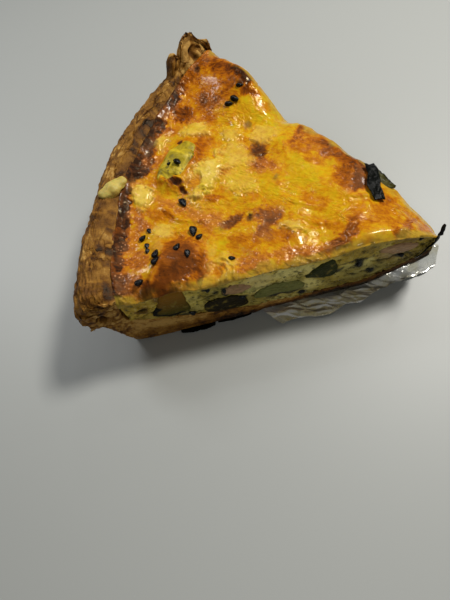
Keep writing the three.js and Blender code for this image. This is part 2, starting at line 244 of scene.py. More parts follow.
def ballRings(rows, columns):  # unit ball as rings of points, without its two poles
    up = np.linspace(0, np.pi, rows + 2)[1:-1, None]
    about = np.linspace(0, 2 * np.pi, columns, endpoint=False)[None]
    return np.stack([np.sin(up) * np.cos(about), np.sin(up) * np.sin(about), np.cos(up) + 0 * about], -1)


def joined(parts):  # several sets of points and faces as one
    points, faces, start = [], [], 0
    for somePoints, someFaces in parts:
        faces += [[n + start for n in face] for face in someFaces]
        points.append(somePoints)
        start += len(somePoints)
    return np.concatenate(points), faces


# A piece from points in mm, facing outward, with values per point and a material, in place of the solids it
# stands for
def makePiece(name, points, faces, material, nodes=(), masks=None, sharp=None):
    mesh = bpy.data.meshes.new(name)
    mesh.from_pydata(points * 0.001, [], faces)
    work = bmesh.new()
    work.from_mesh(mesh)
    if work.calc_volume(signed=True) < 0:
        bmesh.ops.reverse_faces(work, faces=work.faces)
        work.to_mesh(mesh)
    work.free()
    for label, values in (masks or {}).items():
        mesh.attributes.new(label, "FLOAT", "POINT").data.foreach_set("value", np.asarray(values, np.float32))
    mesh.shade_smooth()
    if sharp:
        mesh.set_sharp_from_angle(angle=math.radians(sharp))
    mesh.materials.append(material)
    piece = bpy.data.objects.new(name, mesh)
    bpy.context.collection.objects.link(piece)
    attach(piece, "root")
    if nodes:
        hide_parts(*nodes)


# ---- materials: what changes over a surface is a Field, and sums of Fields become nodes
building = {}  # the node tree and shader being built


class Field:  # a node's output that can be added, taken away and multiplied
    def __init__(self, socket):
        self.socket = socket

    def __add__(self, other):
        return maths("ADD", self, other)

    def __sub__(self, other):
        return maths("SUBTRACT", self, other)

    def __rsub__(self, other):
        return maths("SUBTRACT", other, self)

    def __mul__(self, other):
        return maths("MULTIPLY", self, other)

    __radd__, __rmul__ = __add__, __mul__


def made(kind, outlet, inputs=None, **settings):  # one output of a new node: Fields are linked, others set
    node = building["tree"].nodes.new("ShaderNode" + kind)
    for key, value in settings.items():
        setattr(node, key, value)
    for key, value in (inputs or {}).items():
        if isinstance(value, Field):
            building["tree"].links.new(value.socket, node.inputs[key])
        else:
            node.inputs[key].default_value = value
    return Field(node.outputs[outlet])


def maths(operation, a, b):  # one step of arithmetic
    return made("Math", 0, {0: a, 1: b}, operation=operation)


def limited(field):  # kept between 0 and 1
    return made("Clamp", 0, {"Value": field})


def blend(share, a, b, kind="MIX"):  # colour a, with this share of colour b
    a, b = (colour if isinstance(colour, Field) else (*colour, 1) for colour in (a, b))
    return made("Mix", 2, {0: share, 6: a, 7: b}, data_type="RGBA", blend_type=kind)


def spread(field, low, high, toLow=0.0, toHigh=1.0):  # straight from one range to another, with its ends held
    return made("MapRange", 0, {"Value": field, "From Min": low, "From Max": high,
                                "To Min": toLow, "To Max": toHigh})


def ramp(field, stops):  # colours at places from 0 to 1, blended between
    result = made("ValToRGB", "Color", {"Fac": field})
    band = result.socket.node.color_ramp
    while len(band.elements) < len(stops):
        band.elements.new(0.5)
    for element, (position, colour) in zip(band.elements, stops):
        element.position, element.color = position, (*colour, 1)
    return result


def inMillimetres(stretch=(1, 1, 1), turn=0.0):  # the object's own coordinates in mm
    return made("Mapping", 0, {"Vector": made("TexCoord", "Object"), "Rotation": (0, 0, math.radians(turn)),
                               "Scale": tuple(1000 * s for s in stretch)})


def grain(vector, size, detail=5.0, rough=0.6, bend=0.0):  # soft noise with spots of this many mm
    return made("TexNoise", "Fac", {"Vector": vector, "Scale": 1 / size, "Detail": detail,
                                    "Roughness": rough, "Distortion": bend})


def mask(name):  # a value stored at the piece's own points
    return made("Attribute", "Fac", attribute_name=name)


def newGroup(name, inputs, outputs):  # a node group, and its inputs as Fields
    group = building["tree"] = bpy.data.node_groups.new(name, "ShaderNodeTree")
    for label, value in inputs.items():
        kind = "Vector" if value is None else "Float"
        socket = group.interface.new_socket(label, in_out="INPUT", socket_type="NodeSocket" + kind)
        if value is not None:
            socket.default_value = value
    for label in outputs:
        group.interface.new_socket(label, in_out="OUTPUT", socket_type="NodeSocketFloat")
    start = group.nodes.new("NodeGroupInput").outputs
    return group, {label: Field(start[label]) for label in inputs}


def giveOut(group, results):  # links Fields to the group's outputs
    end = group.nodes.new("NodeGroupOutput").inputs
    for label, field in results.items():
        group.links.new(field.socket, end[label])


# Two grains on each other: a tone about 0.5 and a height
crumbGroup, given = newGroup("crumbGrain", {"Vector": None, "Size": 2.0}, ["Tone", "Height"])
perMm = maths("DIVIDE", 1.0, given["Size"])
coarse = made("TexNoise", "Fac", {"Vector": given["Vector"], "Scale": perMm, "Detail": 4.0})
fine = made("TexNoise", "Fac", {"Vector": given["Vector"], "Scale": perMm * 4.3, "Detail": 3.0, "Roughness": 0.7})
both = coarse * 0.6 + fine * 0.4
giveOut(crumbGroup, {"Tone": spread(both, 0.3, 0.7), "Height": both})

# Small scattered flecks: 1 in a share of the cells, near the middle of each
fleckGroup, given = newGroup("scatteredFlecks", {"Vector": None, "Size": 2.0, "Share": 0.3}, ["Mask"])
scattered = {"Vector": given["Vector"], "Scale": maths("DIVIDE", 1.0, given["Size"])}
near = spread(made("TexVoronoi", "Distance", scattered), 0.34, 0.22)
picked = made("SeparateColor", 0, {"Color": made("TexVoronoi", "Color", scattered)})
giveOut(fleckGroup, {"Mask": near * maths("LESS_THAN", picked, given["Share"])})


def useGroup(group, vector, **values):  # a placed group's outputs as Fields
    node = building["tree"].nodes.new("ShaderNodeGroup")
    node.node_tree = group
    building["tree"].links.new(vector.socket, node.inputs["Vector"])
    for key, value in values.items():
        node.inputs[key].default_value = value
    return {socket.name: Field(socket) for socket in node.outputs}


def newMaterial(name, **fixed):  # a material, with the shader's uniform values
    material = bpy.data.materials.new(name)
    material.use_nodes = True
    building["tree"] = material.node_tree
    building["shader"] = material.node_tree.nodes["Principled BSDF"]
    for key, value in fixed.items():
        building["shader"].inputs[key.replace("_", " ")].default_value = value
    return material


# The shader's changing inputs, the height as bumps this many mm deep
def feed(colour, roughness, height, depth, coat=None):
    bump = made("Bump", 0, {"Height": height, "Strength": 1.0, "Distance": depth * 0.001})
    inputs = {"Base Color": colour, "Roughness": roughness, "Normal": bump, "Coat Weight": coat}
    for key, field in inputs.items():
        if field is not None:
            building["tree"].links.new(field.socket, building["shader"].inputs[key])


# ---- camera, floor and light are the photograph's: looking down on the slice from its near right
cameraPlan = {"spot": (36.0, -92.9, 150.5), "ahead": (-0.2626, 0.3709, -0.8907), "up": (-0.2290, 0.8728, 0.4310),
              "lens": 27.0}
lens = bpy.data.cameras.new("camera")
lens.lens, lens.sensor_width, lens.clip_start = cameraPlan["lens"], 36, 0.001
viewer = bpy.data.objects.new("camera", lens)
ahead, upward = Vector(cameraPlan["ahead"]), Vector(cameraPlan["up"])
rightward = ahead.cross(upward).normalized()
upward = rightward.cross(ahead).normalized()
viewer.matrix_world = Matrix.Translation(Vector(cameraPlan["spot"]) * 0.001) @ Matrix(
    (rightward, upward, -ahead.normalized())).transposed().to_4x4()
bpy.context.collection.objects.link(viewer)
bpy.context.scene.camera = viewer
bpy.context.scene.view_settings.view_transform = "Standard"

lightPlan = {
    "sky": (0.86, 0.87, 0.85), "skyStrength": 0.14, "aim": (0, 0, 15),
    "lamps": [  # name, place, size, power and colour
        ("windowLight", (150, 210, 400), 90, 2.4, (1, 0.97, 0.92)),
        ("roomLight", (-330, 60, 300), 110, 0.6, (0.95, 0.97, 1)),
        ("frontGlint", (150, -260, 150), 60, 0.12, (1, 0.98, 0.94))],
    "ceiling": [(-60, 300, 390), (-190, 230, 400), (40, 190, 460), (-110, 350, 300), (-260, 60, 420),
                (120, 330, 330)]}
lightPlan["lamps"] += [("ceilingLamp", spot, 16, 0.03, (1, 1, 1)) for spot in lightPlan["ceiling"]]
world = bpy.data.worlds.new("room")
bpy.context.scene.world = world
world.use_nodes = True
world.node_tree.nodes["Background"].inputs[0].default_value = (*lightPlan["sky"], 1)
world.node_tree.nodes["Background"].inputs[1].default_value = lightPlan["skyStrength"]
for name, spot, size, power, colour in lightPlan["lamps"]:
    lamp = bpy.data.lights.new(name, "AREA")
    lamp.size, lamp.energy, lamp.color = size * 0.001, power, colour
    lampObject = bpy.data.objects.new(name, lamp)
    lampObject.location = Vector(spot) * 0.001
    lampObject.rotation_euler = (Vector(lightPlan["aim"]) - Vector(spot)).to_track_quat("-Z", "Y").to_euler()
    bpy.context.collection.objects.link(lampObject)

floorMaterial = newMaterial("paleFloor", Roughness=0.5, Base_Color=(0.33, 0.34, 0.325, 1))
floorMesh = bpy.data.meshes.new("floor")
floorMesh.from_pydata([(-3, -3, 0), (3, -3, 0), (3, 3, 0), (-3, 3, 0)], [], [(0, 1, 2, 3)])
floorMesh.materials.append(floorMaterial)
floor = bpy.data.objects.new("floor", floorMesh)
bpy.context.collection.objects.link(floor)
print("camera, light and floor done")

# ---- heights that several pieces share, as in the solids
topShapes = [
    (87, -23.5, 6, 4.4), (97, -26, 5, 2.6), (106, 28, 10, 6.5), (92, 28, 7.5, 5), (72, 30, 4, -4.2),
    (25, -28, 7, 1.6), (38, 24, 9, 1.4), (74, -25, 5, -1.4), (89.5, -5, 3, -2.2), (93, 1, 7, 1.6),
    (58, 12, 8, 0.9), (63, -9, 8, -0.8)]


def topAt(r, angle):  # filling height, waves, bells for bumps and hollows, and a fall to the point
    spot = place(r, angle, 0)
    x, y = spot[..., 0], spot[..., 1]
    z = slicePlan["fillHeight"] + 0.8 * waves(x, y, 31) + 0.4 * waves(y + 9, x, 13)
    for middle, turn, wide, high in topShapes:
        cx, cy, _ = place(middle, turn, 0)
        z = z + high * bell(np.hypot(x - cx, y - cy) / wide)
    nearTip = clamp(1 - r / slicePlan["liftLength"])
    return z - 4.2 * nearTip ** 2 - 5.5 * across(angle) * clamp(1 - r / 34)


def cheeseUnder(r, angle):  # the cheese's underside, a wavy thickness below the top
    return topAt(r, angle) - slicePlan["cheeseThick"] - 0.4 * waves(r, angle, 17)


def liftAt(r):  # the base's rise towards the raised point
    return slicePlan["tipLift"] * clamp(1 - r / slicePlan["liftLength"]) ** 1.4


def footAt(r, angle):  # the underside, higher near the point and over the foil
    outward = r * np.sin(np.radians(angle + half))
    room = smooth((9 - outward) / 2) * smooth((64 - r) / 3) * smooth((r - 8) / 4)
    return liftAt(r) + 1.6 * room


def baseTop(r):  # the pastry floor: lifted, thicker outward
    return (liftAt(r) + slicePlan["baseThick"] + 10 * clamp((r - 45) / 55) ** 2
            + 0.9 * smooth(r / slicePlan["liftLength"]))


def wallAt(z, angle):  # distance at which filling and pastry meet
    share = 0.25 + 0.75 * smooth((z - 19) / 7)
    return (slicePlan["innerRadius"] + 1.6 * bell((z - 22) / 5)
            + slicePlan["innerDrift"] * across(angle) ** 1.3 * share)


# ---- finishes
cheeseMaterial = newMaterial("bakedCheese", Specular_IOR_Level=0.17, Specular_Tint=(1, 0.82, 0.45, 1),
                             Coat_Roughness=0.1)
spot, stretched = inMillimetres(), inMillimetres((1.0, 1.7, 1.0), 35)
crumb = useGroup(crumbGroup, spot, Size=2.2)
cloud = grain(spot, 6.0, bend=0.6)
streaks = grain(stretched, 5.0, 4.0, 0.55, 2.4)
change = (crumb["Tone"] * 0.30 + cloud * 0.6 + streaks * 0.66 - 0.78) * (0.95 - 0.5 * mask("dull"))
flecks = useGroup(fleckGroup, spot, Size=0.9, Share=0.3)["Mask"]
colour = ramp(limited(mask("brown") + change + flecks * 0.08), [
    (0.0, (0.47, 0.335, 0.007)), (0.2, (0.52, 0.29, 0.005)), (0.4, (0.46, 0.175, 0.003)),
    (0.6, (0.33, 0.090, 0.002)), (0.8, (0.145, 0.034, 0.002)), (1.0, (0.030, 0.009, 0.003))])
colour = blend(mask("pale") * spread(cloud, 0.3, 0.6, 0.25, 1.0), colour, (0.64, 0.47, 0.085))
charColour = blend(spread(grain(spot, 2.2, 3.0), 0.48, 0.66), (0.022, 0.007, 0.004), (0.13, 0.040, 0.010))
colour = blend(mask("char") * spread(crumb["Tone"], 0.0, 0.9, 1.3, 0.7), colour, charColour)
# painted highlights: pinkish-white glints scattered where the top is pink, over a faint pink tint
pinkGlintFlecks = useGroup(fleckGroup, spot, Size=1.1, Share=0.6)["Mask"]
colour = blend(mask("pink") * (pinkGlintFlecks * 0.7 + 0.09), colour, (0.72, 0.36, 0.17))
colour = blend(mask("cream") * spread(cloud, 0.3, 0.6, 0.6, 1.0), colour, (0.40, 0.28, 0.035))
colour = blend(spread(grain(spot, 1.5, 4.0), 0.35, 0.6, 0.45, 0.0), colour, (0.62, 0.52, 0.42), "MULTIPLY")
glossy = spread(grain(spot, 1.8, 1.0), 0.56, 0.66)  # small wet patches in the syrup
roughness = (mask("dull") * 0.5 + spread(crumb["Tone"], 0.0, 1.0, 0.13, 0.3)
             + mask("char") * (0.6 - 0.6 * glossy))
wet = limited(mask("char") * (0.6 * glossy - 1.0) + 1.0) * limited(1.0 - 0.9 * mask("dull"))
wet = wet * spread(grain(spot, 7.0, 3.0), 0.4, 0.65, 0.0, 0.42)
wrinkles = grain(stretched, 5.5, 1.6, 0.42, 2.6) * (1.0 - 0.9 * mask("dull"))
height = (grain(spot, 1.2, 0.5) * (mask("grainy") * 0.55 + 0.03)
          + wrinkles * spread(grain(spot, 14.0, 0.0), 0.35, 0.65, 0.1, 0.9)) * (1.0 - 0.6 * mask("char"))
feed(colour, roughness, height, 0.6, coat=wet)

custardMaterial = newMaterial("setCustard", Specular_IOR_Level=0.18)
spot = inMillimetres()
crumb = useGroup(crumbGroup, spot, Size=2.1)
herbs = useGroup(fleckGroup, spot, Size=1.7, Share=0.3)["Mask"]
colour = ramp(limited(mask("tone") + grain(spot, 4.0, bend=0.5) * 0.9 - 0.47), [
    (0.0, (0.70, 0.60, 0.19)), (0.35, (0.62, 0.47, 0.075)),
    (0.65, (0.42, 0.27, 0.018)), (1.0, (0.16, 0.080, 0.004))])
colour = blend(mask("green") * 0.9, colour, (0.20, 0.21, 0.045))
colour = blend(mask("pink"), colour, (0.40, 0.25, 0.13))
colour = blend(spread(crumb["Tone"], 0.5, 0.1, 0.0, 0.9), colour, (0.10, 0.075, 0.010))
colour = blend(spread(crumb["Tone"], 0.62, 0.95, 0.0, 0.5), colour, (0.74, 0.62, 0.25))
colour = blend(herbs * 0.7, colour, (0.04, 0.05, 0.01))
# painted shade: the cut faces darker low down and towards the point
colour = blend(mask("paintedShade"), colour, (0.34, 0.32, 0.22), "MULTIPLY")
# dark specks, and painted shade in the deepest hollows of the cut
colour = blend(mask("dark"), colour, (0.012, 0.013, 0.006))
feed(colour, spread(crumb["Tone"], 0.0, 1.0, 0.2, 0.5), crumb["Height"], 0.7)

pastryMaterial = newMaterial("bakedPastry", Specular_IOR_Level=0.24, Specular_Tint=(1, 0.85, 0.6, 1))
spot = inMillimetres()
crumb = useGroup(crumbGroup, spot, Size=2.4)
flecks = useGroup(fleckGroup, spot, Size=1.1, Share=0.35)["Mask"]
layered = (grain(inMillimetres((0.35, 0.35, 1.6)), 1.3, 5.0, 0.65, 0.8) - 0.5) * mask("layers")
wobble = made("TexNoise", "Color", {"Vector": spot, "Scale": 0.35, "Detail": 3.0})
shaken = made("VectorMath", 0, {0: wobble, 1: (4.0, 4.0, 4.0), 2: spot}, operation="MULTIPLY_ADD")
flaky = spread(grain(spot, 9.0, 2.0), 0.44, 0.56)
plates = {"Vector": shaken, "Scale": 0.27}
plateTone = made("SeparateColor", 0, {"Color": made("TexVoronoi", "Color", plates)})
plateEdge = made("TexVoronoi", "Distance", plates, feature="DISTANCE_TO_EDGE")
crack = spread(plateEdge, 0.01, 0.09, 1.0, 0.0) * flaky
tone = mask("brown") + crumb["Tone"] * 0.45 - 0.225 + (plateTone * 0.4 - 0.2) * flaky + crack * 0.1
tone = limited(tone + grain(spot, 4.5, 3.0, 0.6, 0.8) * 0.7 - 0.35 + layered * 0.5)
colour = ramp(tone, [(0.0, (0.42, 0.24, 0.060)), (0.25, (0.235, 0.108, 0.014)), (0.5, (0.135, 0.053, 0.005)),
                     (0.75, (0.055, 0.018, 0.003)), (1.0, (0.010, 0.005, 0.003))])
colour = blend(flecks * 0.4, colour, (0.08, 0.03, 0.006))
feed(colour, spread(tone, 0.7, 0.95, 0.6, 0.45), layered * 0.5 - crack * 0.4 + crumb["Height"], 0.6)


# ---- relief of the two cut faces, shared by cheese, filling and pastry
cutPlan = {"crumbs": 0.75, "pits": 0.8, "bubble": (100.5, 22.6, 1.9, 1.7)}
vegetables = {
    "courgette_wedge": {
        "side": -1, "deep": 15, "narrow": 0.75, "kind": "courgette", "skin": (228, 385),
        "outline": [(86, 15.2), (92.5, 13.9), (97.6, 15.6), (98, 18.4), (95, 23.2), (92.4, 29), (86.4, 29.4),
                    (85.8, 22)]},
    "aubergine_slab": {
        "side": -1, "deep": 12, "kind": "aubergine", "skin": (0, 0),
        "outline": [(66.6, 9.4), (73, 8), (80.2, 9.8), (80.8, 15.6), (76, 17.4), (68, 15.6)]},
    "courgette_slice": {
        "side": -1, "deep": 11, "kind": "slice", "skin": (200, 340),
        "outline": [(46.8, 11.4), (54, 10.4), (63.4, 12), (61.2, 16.8), (54.6, 18.2), (48, 16.2)]},
    "courgette_end": {
        "side": -1, "deep": 9, "kind": "dark", "skin": (0, 0),
        "outline": [(36.4, 15.4), (40, 15.2), (46, 17.9), (41.4, 23), (37.6, 25), (35.4, 20)]},
    "onion_strip": {
        "side": -1, "deep": 8, "kind": "onion", "skin": (0, 0),
        "outline": [(64.4, 20.6), (69.2, 18.6), (73.4, 20.6), (72.4, 23.2), (67.6, 24.2)]},
    "onion_strip_tip": {
        "side": -1, "deep": 6, "kind": "onion", "skin": (0, 0),
        "outline": [(9.6, 20.6), (14.6, 18.8), (21.6, 21.8), (20.6, 24), (14.8, 24.4), (10.2, 22.6)]},
    "courgette_far": {
        "side": 1, "deep": 13, "kind": "courgette", "skin": (205, 290),
        "outline": [(82, 15), (88, 13.4), (94, 15.4), (95.4, 20.4), (91.6, 26.4), (84.6, 25.6)]},
    "aubergine_far": {
        "side": 1, "deep": 11, "kind": "aubergine", "skin": (0, 0),
        "outline": [(56, 9.6), (63, 8.8), (68.8, 10.6), (68, 14.4), (61, 15.8), (56.2, 13.8)]},
    "courgette_far_slice": {
        "side": 1, "deep": 10, "kind": "slice", "skin": (200, 340),
        "outline": [(33, 12.4), (40, 10.6), (47.6, 12), (47, 16.6), (40, 18.8), (34, 17)]},
    "onion_far": {
        "side": 1, "deep": 8, "kind": "onion", "skin": (0, 0),
        "outline": [(70.4, 19.4), (76, 18.6), (80, 20.4), (77.4, 22.6), (72, 22.4)]}}
for plan in vegetables.values():
    edge = rounded(plan["outline"], 96)
    ripple = deepNoise(edge[:, 0], edge[:, 1], 3.0 * plan["side"], 2.6, 3, 0.7)
    outward = edge - edge.mean(0)
    plan["edge"] = edge + 0.5 * ripple[:, None] * outward / np.linalg.norm(outward, axis=1)[:, None]


def cutRelief(s, z, side):  # crumbly noise, small pits, a bubble, and a hollow behind each vegetable
    relief = cutPlan["crumbs"] * deepNoise(s, z, 9.0 * side, 3.4, 4, 0.6)
    bentS, bentZ = s + 1.5 * deepNoise(s, z, 17.0, 3.0, 3), z + 1.2 * deepNoise(s, z, 27.0, 3.0, 3)
    first, second, value = cells(0.8 * bentS, 1.3 * bentZ, 14.0 * side, 3.8)
    crumbly = smooth((noise(s, z, 24.0 * side, 7.0) + 0.3) / 0.5) * smooth((25.5 - z) / 4)
    relief -= 0.55 * crumbly * (1 - smooth((second - first) / 0.22)) * smooth((value - 0.25) / 0.4)
    first, second, value = cells(s, z * 1.1, 4.0 * side, 2.3)
    relief -= cutPlan["pits"] * np.where(value > 0.62, smooth((0.34 - first) / 0.2), 0)
    if side < 0:
        bs, bz, wide, high = cutPlan["bubble"]
        gap = np.hypot((s - bs) / wide, (z - bz) / high)
        relief += -1.5 * smooth((1.0 - gap) / 0.45) + 0.25 * bell((gap - 1.15) / 0.2)
    for plan in vegetables.values():
        if plan["side"] == side:
            low, high = plan["edge"].min(0) - 2, plan["edge"].max(0) + 2
            near = (s > low[0]) & (s < high[0]) & (z > low[1]) & (z < high[1])
            if near.any():
                gap, _ = toPath(s[near], z[near], np.vstack([plan["edge"], plan["edge"][:1]]))
                gap = np.where(inside(s[near], z[near], plan["edge"]), gap, -gap)
                relief[near] = relief[near] * (1 - smooth((gap + 0.3) / 0.6)) - 0.85 * smooth((gap + 0.35) / 0.7)
    return relief


# Painted spots of each cut: along, up, half length, half height, turn, tone and other values
cutSpots = {-1: [
    (102, 23, 6, 8, 0, 0.62), (100.5, 22.6, 2.0, 1.8, 0, 1.15), (109.4, 26.4, 0.7, 1.0, 0, None, {"dark": 0.8}),
    (83.5, 20, 4, 8, 10, 0.25, {"green": 0.25}), (76, 21, 5, 5, 0, 0.7, {"green": 0.6}),
    (72.6, 22.4, 1.1, 2.6, -15, None, {"dark": 1}), (78, 25.3, 0.9, 1.1, 0, None, {"dark": 0.95}),
    (76, 22.4, 0.7, 1.5, 0, None, {"dark": 0.9}), (68.4, 15.4, 2.0, 1.0, 0, None, {"dark": 0.9}),
    (66, 18.6, 4, 1.2, 0, None, {"green": 0.7}), (62, 23.5, 6, 4, 0, 0.35, {"pink": 0.25}),
    (53, 24, 9, 6, 0, 0.38), (49.5, 18, 3, 2, 0, None, {"green": 0.5}), (42, 27.5, 12, 3, 0, 0.45),
    (31, 24, 8, 4, 0, 0.6, {"green": 0.1}), (30, 20.6, 5.5, 0.7, -5, None, {"dark": 0.75}),
    (33.6, 17.8, 1.2, 0.8, 0, None, {"dark": 0.8}), (29, 16, 8, 4, 0, 0.2, {"green": 0.3}),
    (24, 11.5, 8, 3, -10, 0.15, {"green": 0.25}), (17, 20, 5, 4, -10, None, {"pink": 0.6}),
    (13, 26, 5, 2.5, 10, 0.75), (44, 12, 3, 3, 0, 0.1), (91.5, 27, 4, 5, 0, 0.9),
    (75, 28.5, 6, 1.2, 0, 0.8, {"pink": 0.3}), (37, 21, 1.6, 2.5, 0, None, {"green": 0.6}),
    (85.6, 12.7, 1.4, 0.9, 30, None, {"dark": 1}), (58, 18.5, 5, 0.8, 0, None, {"dark": 0.4}),
    (62, 18.6, 4, 2.4, 0, 0.02), (45, 12.6, 3, 4, 0, 0.0), (25.4, 18.6, 2.4, 2.4, 0, 0.02),
    (51, 23.6, 7, 2.6, 0, 0.12), (62, 25, 5, 1.8, 0, 0.16), (53, 10.5, 7.5, 0.9, 4, None, {"dark": 0.95}),
    (28.4, 18.4, 1.6, 3.0, 0, None, {"dark": 1}), (23.4, 12.4, 2.0, 1.8, 20, None, {"dark": 1}),
    (14, 17, 1.6, 1.2, 20, None, {"dark": 1}), (34.6, 17.4, 1.8, 1.4, 0, None, {"dark": 0.9}),
    (73, 21, 1.2, 3.6, -10, None, {"dark": 1}), (76.4, 6.6, 1.8, 2.0, 0, None, {"dark": 1}),
    (47.4, 8, 1.5, 1.2, -20, None, {"dark": 1}), (53, 10.4, 7, 0.7, -6, None, {"dark": 0.85}),
    (20.4, 24.4, 2, 1.6, 0, 0.2), (68.4, 14.6, 2.2, 1.4, 0, None, {"dark": 1}),
    (78.4, 25.4, 1.2, 1.1, 0, None, {"dark": 1}), (90, 12.6, 6, 1.0, 4, None, {"dark": 0.85})],
    1: [
    (100, 22, 8, 8, 0, 0.55), (78, 24, 8, 4, 0, 0.4), (62, 22, 8, 4, 5, 0.3, {"green": 0.2}),
    (74, 16, 5, 2, 0, None, {"green": 0.5}), (50, 21, 6, 4, 0, 0.25),
    (54, 24.5, 1.2, 0.9, 0, None, {"dark": 0.8}), (40, 23, 7, 3, 0, 0.6),
    (30, 19, 5, 3, 0, 0.35, {"green": 0.3}), (26, 15, 1.2, 0.8, 20, None, {"dark": 0.9}),
    (87, 27, 4, 2, 0, 0.8, {"pink": 0.2}), (66, 18, 2.5, 0.8, 10, None, {"dark": 0.7}),
    (18, 20, 4, 3, 0, None, {"pink": 0.4})]}


def cutMasks(s, z, side):  # painted values of a cut face, on coordinates bent by noise
    bentS = s + 0.8 * noise(s, z, 7.0 * side, 2.5)
    bentZ = z + 0.8 * noise(s, z, 30 + 7.0 * side, 2.5)
    start = {"tone": 0.42, "green": 0.0, "dark": 0.0, "pink": 0.0}
    return painted(bentS, bentZ, cutSpots[side], "tone", start)


def shifted(points, out, side):  # points moved outward from a cut face
    return points + np.stack([out * sinHalf, side * out * cosHalf, np.zeros_like(out)], -1)


# ---- filling: floor on the pastry, top under the cheese, two crumbly cut faces
fillingPlan = {"rows": 300, "levels": 78, "angles": [-30, -29.4, -27, -20, 0, 20, 27, 29.4, 30]}
angles = np.array(fillingPlan["angles"], float)[None, :]
part = np.linspace(0, 1, fillingPlan["rows"])[:, None] ** 0.97
lowR = tipCut + (wallAt(19.0, angles) - 1.0 - tipCut) * part
highR = tipCut + (wallAt(30.0, angles) - tipCut) * part
low = place(lowR, angles, baseTop(lowR) - 0.05)
fromCut = np.minimum(highR * np.sin(np.radians(angles + half)), highR * np.sin(np.radians(half - angles)))
high = place(highR, angles, cheeseUnder(highR, angles) - 0.02 - 4.0 * smooth((fromCut - 0.5) / 4))
points, faces, i, j, share = slab(low, high, np.linspace(0, 1, fillingPlan["levels"]))
masks = {name: np.full(len(points), 0.4 if name == "tone" else 0.0)
         for name in ("tone", "green", "dark", "pink", "paintedShade")}
for side, column in ((-1, 0), (1, len(fillingPlan["angles"]) - 1)):
    face = j == column
    s = np.hypot(tipX - points[face, 0], points[face, 1])
    z = points[face, 2]
    relief = cutRelief(s, z, side)
    for name, values in cutMasks(s, z, side).items():
        masks[name][face] = values
    masks["tone"][face] += 0.12 * smooth((z - 22) / 6) - 0.24 * bell((s - 55) / 10)
    # painted shade: darker towards the foot of each cut face and towards the point, mottled, less where the
    # custard is pale
    lower = smooth((23.5 - z + 2.0 * noise(s, z, 6.0 * side, 4.0)) / 13)
    lower = 0.85 * lower + 0.35 * smooth((36 - s) / 14) + 0.5 * noise(s, z, 16.0 * side, 3.0) * lower
    masks["paintedShade"][face] = clamp(lower * clamp(0.25 + 2.0 * masks["tone"][face]))
    # painted shade: near-black in the deepest pits and in the hollows round the vegetables
    masks["dark"][face] = np.maximum(masks["dark"][face], 0.75 * smooth((-0.22 - relief) / 0.45))
    points[face] = shifted(points[face], relief, side)
makePiece("filling_custard", points, faces, custardMaterial, ["filling"], masks)
print("filling done", len(points))

